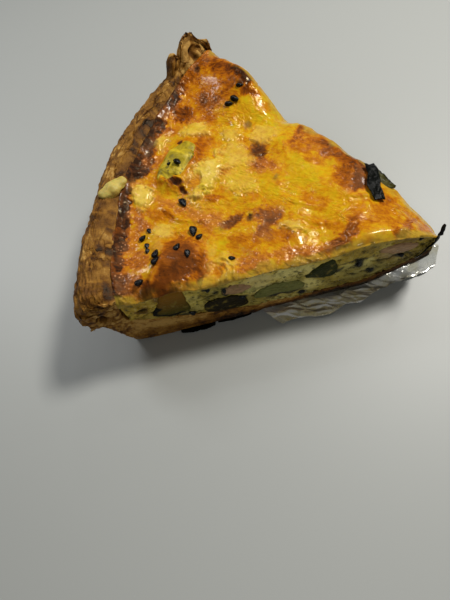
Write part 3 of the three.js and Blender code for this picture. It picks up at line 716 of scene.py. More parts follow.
# ---- cheese: the browned top, rounded over the cuts
# Painted spots of the top: x, y, half length, half width, turn, brown and other values
topSpots = [
    (-6, 32, 17, 9, -30, 0.1), (-36, 50, 10, 6, -50, 0.46), (-29, 46, 10, 4, -30, 0.64),
    (-21, 43.4, 6.5, 2.6, -25, 0.82), (-42, 45, 3.5, 6, 0, 0.6), (-33, 37, 8, 7, 0, 0.5),
    (-38, 36, 3.5, 3.5, 0, 0.36), (-31, 34.5, 5, 4.5, -20, 0.7, {"grainy": 1, "pink": 0.45}),
    (-44.5, 31, 3, 6, 10, 0.84), (-39, 27, 6, 3.6, -25, 0.8), (-30, 27.5, 4, 3, 0, 0.62),
    (-35, 25.5, 2.5, 2.5, 0, 0.55, {"grainy": 0.8, "pink": 0.5}), (-20, 29, 7, 4.5, 0, 0.26),
    (-16.5, 38.5, 4, 1.5, 20, 0.66), (-25, 39.5, 4, 2, 10, 0.58), (-40, 19, 4, 4, 0, 0.3),
    (-7, 24, 5, 4, 0, 0.2, {"pale": 0.5}), (-26, 30.5, 3, 2, 0, 0.3),
    (5.5, 25, 2.6, 6, -6, 0.66, {"pink": 0.3}), (10, 22, 3.6, 3, 0, 0.6, {"pink": 0.3}),
    (16, 20.4, 8, 4, -28, 0.66, {"pink": 0.15}), (22, 18.4, 7, 2.4, -28, 0.78), (28.6, 15, 4, 3, -50, 0.92),
    (25.6, 9.4, 4.4, 6.5, 25, 0.68), (30, 10, 2.6, 5, 15, 0.84), (10.5, 8.4, 7, 6, -25, 0.1),
    (20, 3.6, 7, 2.6, -5, 0.24), (12, 15.6, 5, 2, -25, 0.42), (-33, 21, 5, 3.4, 0, 0.16, {"pale": 0.7}),
    (-22, 16, 8, 4, 0, 0.3), (-19, 22, 3.5, 3, 0, None, {"pale": 0.6}),
    (-15, 11, 7, 7, -20, 0.2, {"pale": 0.55}), (-21.5, 1, 4.5, 9, -10, 0.1, {"pale": 0.95}),
    (-9, 1, 6, 5, 0, 0.2, {"pale": 0.4}), (-16, 4, 3, 2, 30, 0.42), (-27.5, 11, 2.6, 8, 5, 0.56),
    (-36, 6, 3.6, 9, 0, 0.16), (-35.6, 13.4, 1.2, 1.0, 0, 0.9, {"char": 0.5}), (-28, 17.5, 4, 1.6, 0, 0.5),
    (-7.6, 16.4, 4.2, 2.8, -25, 0.78, {"char": 0.6, "grainy": 0.8}),
    (-5, 12, 2.4, 3, 0, 0.66, {"pink": 0.4, "grainy": 0.5}),
    (-3.4, 9, 4.4, 3.4, 30, 0.56, {"grainy": 0.7, "pink": 0.5}),
    (-41, 6, 2, 6, 0, 0.56, {"pink": 0.6, "grainy": 0.9}), (-43, 13, 2.2, 3.4, -30, 0.3, {"pale": 0.7}),
    (-45, -2.4, 4, 2.6, 15, 0.97, {"char": 0.8, "grainy": 0.7}), (-44.5, -8, 3.4, 3, 0, 0.42, {"pale": 0.2}),
    (-40.5, -12.4, 3.4, 4.6, 30, 0.12, {"pale": 0.95}), (-41, -18.4, 3.6, 2, -20, 0.66),
    (-34, -8, 4.5, 2.2, -20, 0.3), (-27, -11.4, 8, 4, -14, 0.38, {"pink": 0.85, "grainy": 1}),
    (-18, -14, 8, 4.2, -10, 0.44, {"pink": 0.9, "grainy": 1}), (-31, -17.6, 5, 2, 0, 0.5, {"grainy": 0.6}),
    (-24, -7, 3, 1.6, -30, 0.26), (-16, -7, 3, 1.6, 10, 0.6), (-31, -4.6, 4.4, 0.9, 8, 0.95, {"char": 0.85}),
    (-26.4, -6.2, 2.2, 0.9, -35, 0.9, {"char": 0.6}),
    (-7.6, -14.4, 1.9, 5.4, -28, 0.74, {"char": 0.5, "grainy": 0.6}),
    (-1.4, -12.2, 1.3, 1.2, 0, None, {"char": 0.9}), (4.6, -10.6, 3.8, 4, 0, 0.76, {"char": 0.2, "pink": 1}),
    (5, -16, 2.6, 4, 12, 0.78, {"char": 0.3, "pink": 0.6}), (14, -12.4, 5, 1.6, 0, 0.24, {"pale": 0.5}),
    (24, -8, 8, 3.4, 10, 0.37), (10, -3, 8, 4, 0, 0.26), (18, -1.6, 5, 2.4, 0, 0.46), (34, -4, 6, 6, 0, 0.42),
    (42, 0, 5, 7, 0, 0.54), (39.6, 5, 4.5, 2.4, -25, 0.68), (47, -3.5, 1.6, 6, -22, 0.72, {"pink": 0.4}),
    (45.4, -7.4, 2.6, 1.8, 0, 0.8), (53, -1, 2.6, 4, 0, 0.5),
    (28.4, -16, 4.6, 1.9, 25, 0.88, {"char": 0.45, "grainy": 0.6}), (31, -10, 2, 4.4, 0, 0.7, {"pink": 0.3}),
    (18, -21.4, 12, 2.8, 24, 0.56, {"pink": 0.7, "grainy": 1}),
    (4, -28.4, 6, 3.6, 20, 0.6, {"pink": 0.7, "grainy": 1}), (10, -19, 6, 2.6, 20, 0.4),
    (2, -22, 4, 1.4, 40, 0.55), (-8.4, -25, 5, 4, 0, 0.14, {"pink": 0, "grainy": 0}), (-8, -20, 4, 3, 0, 0.2),
    (-5, -32, 4, 5, 0, 0.24, {"pale": 0.5}), (-9.4, -34, 1.8, 4, 0, 0.62),
    (-9.4, -38.4, 0.8, 2, 20, 0.95, {"char": 0.6}), (-3, -37.6, 5, 1.4, 28, 0.55),
    (-17.6, -31.4, 7.2, 7, 0, 0.73, {"dull": 1, "pink": 0, "grainy": 0}),
    (-15.6, -38.4, 5.4, 7, 0, 0.84, {"dull": 1}), (-21, -39, 2.4, 5, 10, 0.7, {"dull": 0.8}),
    (-18.4, -44.4, 5, 4.4, 0, 0.84, {"dull": 1}), (-10.6, -32, 3, 7, 0, None, {"dull": 0.9}),
    (-28, -24.4, 4.4, 3, -10, 0.18, {"pale": 0.6}),
    (-36, -22.6, 4.4, 2.6, -20, 0.6, {"pink": 0.9, "grainy": 0.9}),
    (-26.4, -31, 2, 4.6, 30, 0.4, {"pale": 0.3}), (-36.6, -31, 3, 5.5, 15, 0.56, {"pink": 0.6, "grainy": 0.9}),
    (-31, -38, 3.6, 5, 25, 0.6, {"pink": 0.7, "grainy": 0.8}),
    (-34.6, -42.4, 1.8, 2.2, 20, 0.55, {"dull": 0.7}),
    (-32.6, -47, 3.4, 3.6, 30, 0.82, {"char": 0.5, "grainy": 0.9}),
    (-29, -46, 3, 3, 20, 0.66, {"pink": 0.7, "grainy": 0.8}), (-24, -46, 2.6, 2.2, 0, 0.9, {"char": 0.3}),
    (-22.6, -41.6, 1.6, 3, 0, 0.45), (-14, 27.4, 1.3, 1.7, 15, None, {"char": 0.55}),
    (2.8, 4.4, 1.5, 2.0, 0, None, {"char": 0.5}), (-5, -33, 2.6, 3, 0, 0.44, {"pale": 0}),
    (-24.6, -3.6, 2, 3.4, 0, 0.42, {"pale": 0.1}), (42, -2, 3, 3, 0, 0.52),
    (-35, -38, 2.6, 2.4, 0, 0.76, {"pink": 0.5}), (-47, 9, 2.6, 8, 0, 0.9, {"char": 0.55}),
    (-44, 3.4, 2, 2.6, 0, 0.76, {"pink": 0.4}), (-40.4, 46.2, 1.7, 1.4, 0, None, {"char": 0.9}),
    (-39.8, -32.8, 2.4, 3.4, 20, 0.95, {"char": 0.8}), (-37.4, -38, 1.6, 3.4, 25, 0.9, {"char": 0.6}),
    (-43.4, -22, 2, 3.4, 10, 0.9, {"char": 0.7}), (-10, 35.4, 4, 3, -20, 0.28),
    (-20.4, 39.6, 1.7, 0.8, 10, None, {"char": 0.85}), (29.6, 8.4, 4, 7, 15, None, {"dull": 0.8}),
    (-18, -10.6, 6, 1.6, -8, 0.3, {"pink": 0.3}), (-21, -12.6, 3, 1.6, 0, 0.34),
    (-47.4, 15, 1.8, 3.4, 0, 0.96, {"char": 0.6}), (-49, 12, 1.8, 7, 0, 1, {"char": 0.7}),
    (9, -17, 6, 2.8, 15, 0.52), (-1.4, -21.5, 4.6, 2.8, 40, 0.46), (8, 18, 3.4, 2.4, -20, 0.56),
    (-32, -8.4, 3.2, 2, 0, 0.2, {"pink": 0, "grainy": 0.2}), (-42, 17.4, 2.6, 2.6, 0, 0.5),
    (-40, -34.4, 1.8, 2.6, 15, 1, {"char": 1}), (-46.6, -3.6, 2.4, 3, 0, 1, {"char": 0.9})]

# Ridges of melted cheese: a bent line, its width and its height
topRidges = [
    ([(-7.5, -28.6), (-4, -28.6), (-0.6, -31), (0.6, -34.6), (-1, -37.5)], 0.42, 0.55),
    ([(-7, -30), (-4.2, -30.4), (-1.8, -32.4), (-1.2, -35.4), (-2.6, -38)], 0.36, 0.5),
    ([(-6.4, -31.6), (-4.4, -32), (-3, -33.8), (-3, -36.2), (-4.2, -38.4)], 0.36, 0.45),
    ([(-24, -24.6), (-22.4, -23), (-20.6, -24), (-21, -25.6)], 0.4, 0.6),
    ([(-37, -2), (-36, -5), (-33, -5.6), (-31.4, -3), (-29, -3.6), (-27, -5.6), (-24, -8)], 0.6, 0.7),
    ([(32, -5.5), (30.8, -8), (30, -11), (32, -13), (31.4, -15.2), (28, -16.4), (24.4, -18.6), (22, -20.4)],
     0.5, 0.7),
    ([(49.6, 2.4), (48.6, -1), (47, -5), (45.8, -7.4)], 0.5, 0.5), ([(51, 1.6), (50, -2), (48.6, -5)], 0.4, 0.4),
    ([(43.6, 5.4), (42.6, 3), (41.4, 1)], 0.4, 0.4),
    ([(-36, -14), (-30, -15.6), (-24, -18.4), (-16, -17), (-11, -13)], 0.7, 0.5),
    ([(-14, -7), (-16, -8.6), (-18.6, -8)], 0.5, 0.5), ([(22, -2), (16, -3.4), (8, -2), (2, 2)], 0.8, 0.3),
    ([(38, 6), (30, 3), (26, 1.4)], 0.6, 0.35), ([(-12, 36), (-6, 31), (-3, 24)], 1.3, 0.3),
    ([(-3, 37), (0, 30), (1, 22), (2, 12), (0, 2)], 2.0, 0.35), ([(-22, 30), (-17, 22), (-9, 20)], 0.7, 0.3),
    ([(-44, 25), (-42, 19), (-45, 14)], 0.5, 0.6), ([(-46, 10), (-43, 6), (-45, 1)], 0.6, 0.6),
    ([(-49, -6), (-45, -3), (-42, -5)], 0.6, 0.7), ([(26, -8), (20, -9.4), (15, -8)], 0.6, 0.3)]

domeOutline = [
    (-17.6, -24.4), (-12.6, -26.6), (-10.8, -33), (-11.4, -40), (-13, -49), (-24, -49), (-24, -42),
    (-22.4, -34), (-21, -28)]
cheesePlan = {"rows": 285, "columns": 288, "levels": 8, "edge": 2.6, "droop": 1.3, "rimGap": 7.0, "ridges": 1.4}


def topRelief(x, y, grainy):  # soft noise, finer noise where grainy, ridges and fine stretch lines
    wrinkled = 0.1 + 0.9 * smooth((noise(x, y, 50.0, 13.0) + 0.25) / 0.7)
    relief = (0.45 * deepNoise(x, y, 2.0, 7.0, 2)
              - 0.34 * wrinkled * np.abs(deepNoise(x + 0.5 * y, 0.5 * y, 9.0, 4.6, 2, 0.35)))
    first, second, value = cells(x, y, 0.0, 1.25)
    relief = relief + grainy * (0.34 * (0.5 - first) + 0.14 * noise(x, y, 4.0, 1.2))
    relief = relief - 0.3 * np.where(value > 0.8, smooth((0.3 - first) / 0.15), 0) * (0.1 + grainy)
    lumpGap = np.hypot((x + 33.0) / 5.0, (y - 4.0) / 9.2) + 0.12 * noise(x, y, 17.0, 3.5)
    relief = relief + 1.3 * bell((lumpGap - 1.05) / 0.22)
    domeGap, _ = toPath(x, y, domeOutline + domeOutline[:1])
    domeGap = np.where(inside(x, y, np.array(domeOutline)), domeGap, -domeGap) + 0.5 * noise(x, y, 23.0, 2.6)
    relief = relief + smooth((domeGap + 0.8) / 2.0) * (1.0 + 0.3 * deepNoise(x, y, 12.0, 2.4, 3, 0.6))
    for path, wide, high in topRidges:
        gap, along = toPath(x, y, path)
        ends = smooth(4 * along) * smooth(4 * (1 - along))
        relief = relief + cheesePlan["ridges"] * high * bell(gap / wide) * ends
    return relief


columns = np.linspace(-half, half, cheesePlan["columns"])[None, :]
part = np.linspace(0, 1, cheesePlan["rows"])[:, None] ** 0.92
r = tipCut + (wallAt(31.0, columns) + 0.25 - tipCut) * part
angle = np.broadcast_to(columns, r.shape)
spot = place(r, angle, 0)
x, y = spot[..., 0], spot[..., 1]
bentX = x + 2.4 * deepNoise(x, y, 3.0, 7.0, 4, 0.65)
bentY = y + 2.4 * deepNoise(x, y, 21.0, 7.0, 4, 0.65)
ragged = 0.9 * deepNoise(x, y, 27.0, 2.6, 4, 0.75)
topStart = {"brown": 0.3, "pale": 0.0, "char": 0.0, "pink": 0.0, "grainy": 0.0, "dull": 0.0}
topValues = painted(bentX, bentY, topSpots, "brown", topStart, ragged)
toRim = wallAt(31.0, columns) - r
burntEdge = 3.3 + 1.9 * noise(x, y, 2.0, 8.0) + 2.2 * deepNoise(x, y, 8.0, 3.0, 3, 0.7)
edgeChar = smooth((burntEdge - toRim) / 1.6) * (1 - 0.97 * smooth((angle - 17) / 4))
blotch = smooth((noise(x, y, 41.0, 3.0) + 0.5 * noise(x, y, 47.0, 1.3) + 0.35) / 0.6)
topValues["char"] = np.maximum(topValues["char"], edgeChar * (0.45 + 0.55 * blotch))
topValues["brown"] += 0.13 * deepNoise(x, y, 65.0, 11.0, 3, 0.5) * (1 - topValues["dull"])
topValues["brown"] += 0.12 * smooth(1.6 - np.hypot((x + 30) / 17, (y - 42) / 12))
fromFar = r * np.sin(np.radians(half - angle)) + 1.5 * noise(x, y, 81.0, 7.0)
farBrown = 0.52 + 0.24 * smooth((x - 10) / 14)
farBrown = farBrown * smooth((8.6 - fromFar) / 5.5) * smooth((x - 3) / 5) * smooth((34 - x) / 3)
topValues["brown"] = np.maximum(topValues["brown"], farBrown)
edgeBrown = (0.7 + 0.3 * blotch) * (1 - 0.4 * smooth((angle - 18) / 4)) * smooth((burntEdge + 1.4 - toRim) / 2.0)
topValues["brown"] = np.maximum(topValues["brown"], edgeBrown)
# pink glints along the syrup edge: painted highlights
edgePinkGlints = 0.8 * (1 - blotch) * smooth((burntEdge + 2.0 - toRim) / 1.5) * (1 - edgeChar)
topValues["pink"] = np.maximum(topValues["pink"], edgePinkGlints)
edgeGrainy = 0.4 * smooth((burntEdge + 3.5 - toRim) / 3.0) * (1 - edgeChar)
topValues["grainy"] = np.maximum(topValues["grainy"], edgeGrainy)
climb = (3.2 * clamp(1 - toRim / cheesePlan["rimGap"]) ** 1.6
         + edgeChar * (0.55 * noise(x, y, 31.0, 3.6) + 0.16 * noise(x, y, 35.0, 1.6)))
fromCut = np.minimum(r * np.sin(np.radians(angle + half)), r * np.sin(np.radians(half - angle)))
fromTip = r - tipCut
edgeFall = cheesePlan["droop"] * (1 + 0.6 * noise(x, y, 71.0, 6.0) + 0.3 * noise(x, y, 75.0, 2.2))
edgeFall *= clamp(1 - fromCut / cheesePlan["edge"]) ** 2 + clamp(1 - fromTip / cheesePlan["edge"]) ** 2
swell = 1.4 * clamp(topValues["pale"]) - 0.35 * smooth((topValues["brown"] - 0.6) / 0.3)
high = place(r, angle, topAt(r, angle) + topRelief(x, y, topValues["grainy"]) + swell + climb - edgeFall)
low = place(r, angle, cheeseUnder(r, angle) - 0.02)
points, faces, i, j, share = slab(low, high, np.linspace(0, 1, cheesePlan["levels"]), lowStep=12)
masks = {name: values[i, j].copy() for name, values in topValues.items()}
for side, angleSide in ((-1, -half), (1, half)):
    gap = r[i, j] * np.sin(np.radians(np.abs(angleSide - angle[i, j])))
    near = gap < 3
    s, z = r[i[near], j[near]], points[near, 2]
    out = 0.45 * cutRelief(s, z, side) + 0.5 * np.sin(np.pi * share[near]) * (gap[near] < 0.01) + 0.15
    points[near] = shifted(points[near], out * clamp(1 - gap[near] / 2.5), side)
    onSide = gap < 0.01
    overWedge = bell((r[i, j] - 91) / 4.5) if side < 0 else 0.0
    overEdge = 0.75 * smooth((2.4 + 1.6 * noise(r[i, j], gap, 12.0, 3.0) - gap) / 2.2)
    cream = np.where(onSide, np.maximum(smooth((1.0 - share) / 0.6), overEdge), overEdge) * (1 - overWedge)
    masks["cream"] = np.maximum(masks.get("cream", 0.0), cream)
makePiece("cheese_baked", points, faces, cheeseMaterial, ["cheese_top"], masks)
print("cheese done", len(points))

# ---- crust: base, wall and rim in one, browned and flaky
rimOutline = np.array([
    (1.4, 1.4, 0, 0.2), (3, 5.6, 0.1, 0.5), (4.6, 10.2, 0.3, 0.6), (6.2, 15, 0.6, 0.6), (8.4, 17.6, 0.9, 0.4),
    (11.2, 17.9, 1, 0.5), (13.2, 21, 1, 0.6), (13, 25, 0.8, 0.6), (11.6, 29, 0.5, 0.7), (9, 32.7, 0.2, 0.7),
    (5.8, 34.7, 0, 0.8), (2.4, 35, 0, 0.8), (-0.6, 34.2, 0, 0.5)])
rimLumps = [(26.4, 3.4, 5.6, 4.5, 5.5), (25.6, 1.9, 4.8, 4.5, 5.5), (21.7, 0.9, 6.0, 8.5, 3.6)]
crustPlan = {"foot": 112, "rim": 170, "columns": 256, "levels": 18, "flakes": 0.75, "round": 1.8,
             "floorEnd": 100.5, "wallTop": 32.6, "rimRadius": 112}


def rimSurface(spots, angle):  # the solids' rim: an outline with waves, a worn part, lumps and drift
    out, z, lip, crag = (spots[:, n, None] for n in range(4))
    t = across(angle)
    alongRim = np.radians(angle) * slicePlan["baseRadius"]
    rough = crag * (waves(alongRim, 3 * z, 9) + 0.7 * waves(alongRim, 4 * out, 4.3))
    inward = clamp((7 - out) / 7)
    worn = 2.4 * bell((angle + 10) / 11) * clamp((out - 3) / 8)
    drift = 0.9 * slicePlan["innerDrift"] * t ** 1.3 * inward
    r = slicePlan["baseRadius"] + out - worn + drift + lip * (1.3 * t + 0.7 * rough)
    height = z + lip * 7 * t * smooth((22.2 - out) / 9) + 0.6 * rough
    upper = smooth((z - 30.6) / 1.6)
    height = height + upper * (1.2 * t - 1.1 * bell((angle - 3) / 9) - 0.9 * smooth((angle - 27) / 2.8))
    for middle, wide, high, lean, reach in rimLumps:
        far = 0.5 * np.abs((angle - middle) / wide) ** 4 + 0.5 * np.abs((out - lean) / reach) ** 3
        height = height + upper * high * np.exp(-far)
    r = r + smooth((z - 27.5) / 1.5) * 1.2 * bell((angle - 27) / 2) * inward
    return r, height


footPart = np.linspace(0, 1, crustPlan["foot"], endpoint=False)[:, None] ** 0.95
rimPart = np.linspace(0, 1, crustPlan["rim"])
angle = np.linspace(-half, half, crustPlan["columns"])[None, :]
spots = bent(rimOutline, rimPart * 12, 13)
rimR, rimZ = rimSurface(spots, angle)
footR = tipCut + (slicePlan["baseRadius"] - tipCut) * footPart + 0 * angle
outerR = np.concatenate([footR, rimR])
outerZ = np.concatenate([footAt(footR, angle), rimZ])
floorEnd = crustPlan["floorEnd"]
insideR = tipCut + (floorEnd - tipCut) * footPart + 0 * angle
wallPart = smooth(rimPart)[:, None] * 0.5 + rimPart[:, None] * 0.5
wallZ = baseTop(floorEnd) + (crustPlan["wallTop"] - baseTop(floorEnd)) * wallPart
wallR = floorEnd + (wallAt(wallZ, angle) - floorEnd) * smooth(rimPart[:, None] / 0.28) ** 0.6
innerR = np.concatenate([insideR, wallR])
innerZ = np.concatenate([baseTop(insideR), wallZ + 0 * angle])
angleGrid = np.broadcast_to(angle, outerR.shape)
outer, inner = place(outerR, angleGrid, outerZ), place(innerR, angleGrid, innerZ)
alongU, alongV = np.gradient(outer, axis=0), np.gradient(outer, axis=1)
normal = np.cross(alongU, alongV)
normal /= np.linalg.norm(normal, axis=-1, keepdims=True) + 1e-9
if (normal[-60, :, 0] > 0).mean() > 0.5:  # the rim's outside looks away from the point
    normal = -normal
stepLength = np.linalg.norm(np.diff(outer[:, 0], axis=0), axis=1)
profileLength = np.concatenate([[0], np.cumsum(stepLength)])[:, None]
rimLength = np.radians(angleGrid) * crustPlan["rimRadius"]
warpedAlong = rimLength + 2.2 * deepNoise(rimLength, profileLength, 4.0, 6.0, 3)
warpedUp = profileLength + 2.2 * deepNoise(rimLength, profileLength, 14.0, 6.0, 3)
soft = deepNoise(rimLength, profileLength, 5.0, 11.0, 3, 0.5)
first, second, value = cells(warpedAlong / 1.4, warpedUp, 0.0, 6.5)
seam = second - first
flake = 1.1 * (value - 0.5) * smooth(seam / 0.10) + 0.7 * soft
first, second, smallValue = cells(warpedAlong / 2.2, warpedUp, 7.0, 1.9)
flake += (0.22 * (smallValue - 0.5) * smooth((second - first) / 0.2)
          + 0.10 * noise(rimLength, profileLength, 8.0, 1.3))
onRim = smooth((profileLength - 100) / 8)
horn = smooth((angleGrid - 20) / 2.5) * smooth((profileLength - 120) / 8)
groove = np.abs(deepNoise(rimLength, 0.6 * profileLength, 2.0, 4.4, 3))
granular = smooth((-21 - angleGrid) / 7) * onRim
pit = np.where(value > 0.55, smooth((0.42 - first) / 0.25), 0)
bulk = (crustPlan["flakes"] * flake * (0.3 + 0.7 * onRim) * (1 - 0.2 * horn)
        - 0.6 * horn * smooth((0.12 - groove) / 0.12))
bulk += (granular * (0.35 * noise(rimLength, profileLength, 3.0, 1.2) - 0.5 * pit)
         * smooth((profileLength - 128) / 8))
outerSpots = np.moveaxis(outer, -1, 0)
bulk += horn * (0.36 * noise(*outerSpots, 1.5) + 0.55 * deepNoise(*outerSpots, 4.2, 3, 0.7))
innerSlope = smooth((profileLength - profileLength[-22]) / 5)
bulk += (innerSlope * (1.3 * noise(rimLength, 0.3 * profileLength, 6.0, 5.5)
                       + 0.8 * noise(rimLength, profileLength, 16.0, 2.2)))
fade = np.ones_like(profileLength)
fade[-14:, 0] = np.linspace(1, 0.2, 14)
bulk = bulk * fade  # gone at the rim's inner edge
outer = outer + normal * bulk[..., None]
fromEnd = outerR * np.radians(half - np.abs(angleGrid))
inset = crustPlan["round"] * clamp(1 - fromEnd / 3.2) ** 2 * (0.25 + 0.75 * onRim)
outer = outer - normal * (inset * 0.8)[..., None]
outer[..., 2] = np.maximum(outer[..., 2], 0.02)
points, faces, i, j, share = slab(outer, inner, np.linspace(0, 1, crustPlan["levels"]), highStep=9)
thick = share * np.linalg.norm(inner - outer, axis=-1)[i, j]
hornTop = horn[i, j] * (i == len(profileLength) - 1)
speck = noise(points[:, 0], points[:, 1], points[:, 2], 1.5)
crumple = deepNoise(points[:, 0], points[:, 1], points[:, 2] + 70, 4.2, 3, 0.7)
crevice = (bell((angleGrid[i, j] - 26.2 - 0.6 * crumple) / 0.5) * smooth((points[:, 2] - 34) / 2)
           * (hornTop > 0) * smooth(share / 0.2))
towardPoint = np.stack([tipX - points[:, 0], -points[:, 1], 0 * points[:, 0]], axis=1) / outerR[i, j][:, None]
bumps = 0.45 * speck + 1.3 * crumple - 1.6 * crevice
points += towardPoint * (hornTop * bumps * smooth(share / 0.15) * smooth((1 - share) / 0.12))[:, None]
s = np.hypot(tipX - points[:, 0], points[:, 1])
z = points[:, 2]
layersHere = deepNoise(profileLength[i, 0] / 3.5, 2.2 * thick, 3.0, 2.6, 4, 0.65)
crumbGapShade = np.zeros(len(points))
for side, column in ((-1, 0), (1, crustPlan["columns"] - 1)):
    face = j == column
    out = 0.75 * layersHere[face] + 0.35 * deepNoise(s[face], z[face], 5.0 * side, 2.0, 3)
    out += 0.5 * smooth((profileLength[i[face], 0] - 104) / 8)
    crumbGap = cells(s[face], z[face], 9.0 * side, 1.7)[0]
    atRim = smooth((s[face] - 103) / 5) * smooth((z[face] - 8) / 6)
    out += atRim * (0.9 * (0.45 - crumbGap) + 0.4 * noise(s[face], z[face], 2.0 * side, 1.1))
    # painted shade where the face sinks between crumbs
    crumbGapShade[face] = atRim * smooth((crumbGap - 0.42) / 0.25)
    if side < 0:
        hole = smooth((1.1 - np.hypot((s[face] - 113.8) / 1.5, (z[face] - 23.6) / 2.1)) / 0.4)
        out -= 2.6 * hole
        # painted shade in the hole
        crumbGapShade[face] = np.maximum(crumbGapShade[face], 3 * hole)
    whole = np.linalg.norm(inner - outer, axis=-1)[i[face], j[face]]
    inwardShare = smooth(np.minimum(thick[face], whole - thick[face]) / 1.5)
    out = out * (inwardShare + 0.4 * (1 - inwardShare) * (s[face] < 98))
    points[face] = shifted(points[face], out, side)
points[:, 2] = np.maximum(points[:, 2], 0.0)
onFace = (j == 0) | (j == crustPlan["columns"] - 1)
rimSide, alongHere, upHere = onRim[i, 0], rimLength[i, j], profileLength[i, 0]
brown = 0.42 + 0.30 * deepNoise(alongHere, upHere, 8.0, 9.0, 4, 0.6) + 0.16 * (value[i, j] - 0.5)
brown += (0.22 * bell(seam[i, j] / 0.08) - 0.2 * bell((seam[i, j] - 0.2) / 0.08)) * (value[i, j] > 0.45)
inGroove = smooth((0.14 - groove[i, j]) / 0.12)
# painted shade: darker in the horn's grooves, crevices and sunken crumples, in the rim's pits and hollows;
# lighter on raised bumps
brown += horn[i, j] * (0.5 * inGroove - 0.26 - 0.3 * speck - 0.38 * crumple + 0.6 * crevice)
brown += 0.06 * granular[i, j] * (1 + 3 * pit[i, j])
brown -= 0.16 * bulk[i, j] * (share < 0.01)
creep = profileLength[-1, 0] - upHere - 1.2 - 2.6 * noise(alongHere, 0, 9.0, 7.0)
creep = creep - 1.4 * noise(alongHere, upHere, 19.0, 2.4) + 5 * smooth((angleGrid[i, j] - 20) / 3)
stain = smooth(-creep / 3.4) * (share < 0.9) * (0.75 + 0.25 * noise(alongHere, upHere, 39.0, 1.6))
brown = brown + stain * (0.86 - brown)
brown = np.where(rimSide < 0.5, brown + 0.14, brown)
tan = smooth((share - 0.35) / 0.35) * onFace
faceBrown = 0.42 - 0.38 * tan * (1 - 0.6 * smooth((s - 104) / 5)) + 0.42 * layersHere + 0.4 * crumbGapShade
brown = np.where(onFace, faceBrown - 0.2 * smooth((s - 104) / 4), brown)
burnt = clamp(smooth((62 - s) / 34) + 0.6 * bell((s - 71) / 8)) * (1 - 0.3 * tan)
brown = brown + burnt * (0.95 - brown)
brown = np.where(onFace & (s < 80), brown + 0.22 * smooth((4.5 - z) / 3) * (1 - tan), brown)
makePiece("crust_pastry", points, faces, pastryMaterial, ["crust"],
          {"brown": brown, "layers": onFace * 1.0}, sharp=48)
print("crust done", len(points))

# ---- vegetables flush in both cuts: a slightly domed face, then walls that narrow into the filling
kinds = {
    "courgette": {"flesh": (0.040, 0.036, 0.001), "second": (0.075, 0.056, 0.002), "upper": (0.20, 0.088, 0.003),
                  "rind": (0.0015, 0.0025, 0.0008), "rough": 0.45},
    "slice": {"flesh": (0.20, 0.20, 0.055), "second": (0.09, 0.095, 0.022), "rind": (0.009, 0.004, 0.006),
              "rough": 0.42},
    "dark": {"flesh": (0.012, 0.016, 0.001), "second": (0.030, 0.034, 0.002), "rind": (0.010, 0.014, 0.004),
             "rough": 0.35},
    "aubergine": {"flesh": (0.024, 0.017, 0.002), "second": (0.005, 0.003, 0.001), "rind": (0.012, 0.008, 0.007),
                  "rough": 0.40},
    "onion": {"flesh": (0.42, 0.25, 0.12), "second": (0.24, 0.14, 0.07), "rind": (0.22, 0.13, 0.10),
              "rough": 0.33}}
for kind, plan in kinds.items():
    plan["material"] = newMaterial(kind + "Flesh", Specular_IOR_Level=0.1)
    spot = inMillimetres()
    crumb = useGroup(crumbGroup, spot, Size=1.7)
    fibres = grain(inMillimetres((0.5, 0.5, 1.5)), 1.1, 4.0, 0.6, 1.0)
    colour = blend(spread(fibres, 0.35, 0.65), plan["flesh"], plan["second"])
    colour = blend(spread(crumb["Tone"], 0.2, 0.0, 0.0, 0.5), colour, (0.03, 0.028, 0.008))
    if "upper" in plan:
        colour = blend(spread(made("SeparateXYZ", "Z", {"Vector": spot}), 17.0, 27.0), colour, plan["upper"])
    colour = blend(spread(grain(spot, 2.6, 4.0), 0.58, 0.68, 0.0, 0.7), colour, (0.20, 0.15, 0.025))
    colour = blend(mask("rind"), colour, plan["rind"])
    roughness = spread(crumb["Tone"], 0.0, 1.0, plan["rough"] - 0.1, plan["rough"] + 0.2)
    feed(colour, roughness, crumb["Height"] + fibres, 0.3)

faceShares = [0.12, 0.3, 0.48, 0.64, 0.78, 0.88, 0.95, 0.985, 1.0]
wallSteps = [(0.35, 1.0), (1.0, 0.99), (2.2, 0.97), (0.4, 0), (0.7, 0), (1.0, 0)]
for name, plan in vegetables.items():
    edge, middle, side = plan["edge"], plan["edge"].mean(0), plan["side"]
    narrow = plan.get("narrow", 0.7)
    rings, rinds = [], []
    heading = np.degrees(np.arctan2(edge[:, 1] - middle[1], edge[:, 0] - middle[0])) % 360
    low, highAngle = plan["skin"]
    pastLow = (heading - low) % 360
    skinned = smooth(pastLow / 12) * smooth((highAngle - low - pastLow) / 12)
    reach = np.linalg.norm(edge - middle, axis=1)
    for share in faceShares:
        flat = middle + (edge - middle) * share
        out = 0.32 - 0.34 * smooth((share - 0.82) / 0.18) + 0.22 * (1 - share ** 2)
        out = out + 0.22 * deepNoise(flat[:, 0], flat[:, 1], 3.0 * side, 2.6, 3)
        rings.append(onCut(flat[:, 0], flat[:, 1], out, side))
        skinEdge = 2.3 - reach * (1 - share) + 0.6 * noise(flat[:, 0], flat[:, 1], 1.0, 1.2)
        rinds.append(skinned * smooth(skinEdge / 0.6))
    for step, (into, scale) in enumerate(wallSteps):
        if step >= 3:
            scale, into = 1 - (1 - narrow) * into, plan["deep"] * into
        flat = middle + (edge - middle) * scale
        rings.append(onCut(flat[:, 0], flat[:, 1], -into, side))
        rinds.append(skinned)
    points, faces = capped(np.stack(rings))
    kind, rind = plan["kind"], np.concatenate([*rinds, [0, 0]])
    slot = kind if kind in ("aubergine", "onion") else "courgette"
    makePiece(name + "_cut", points, faces, kinds[kind]["material"], [name], {"rind": rind})
print("vegetables done")


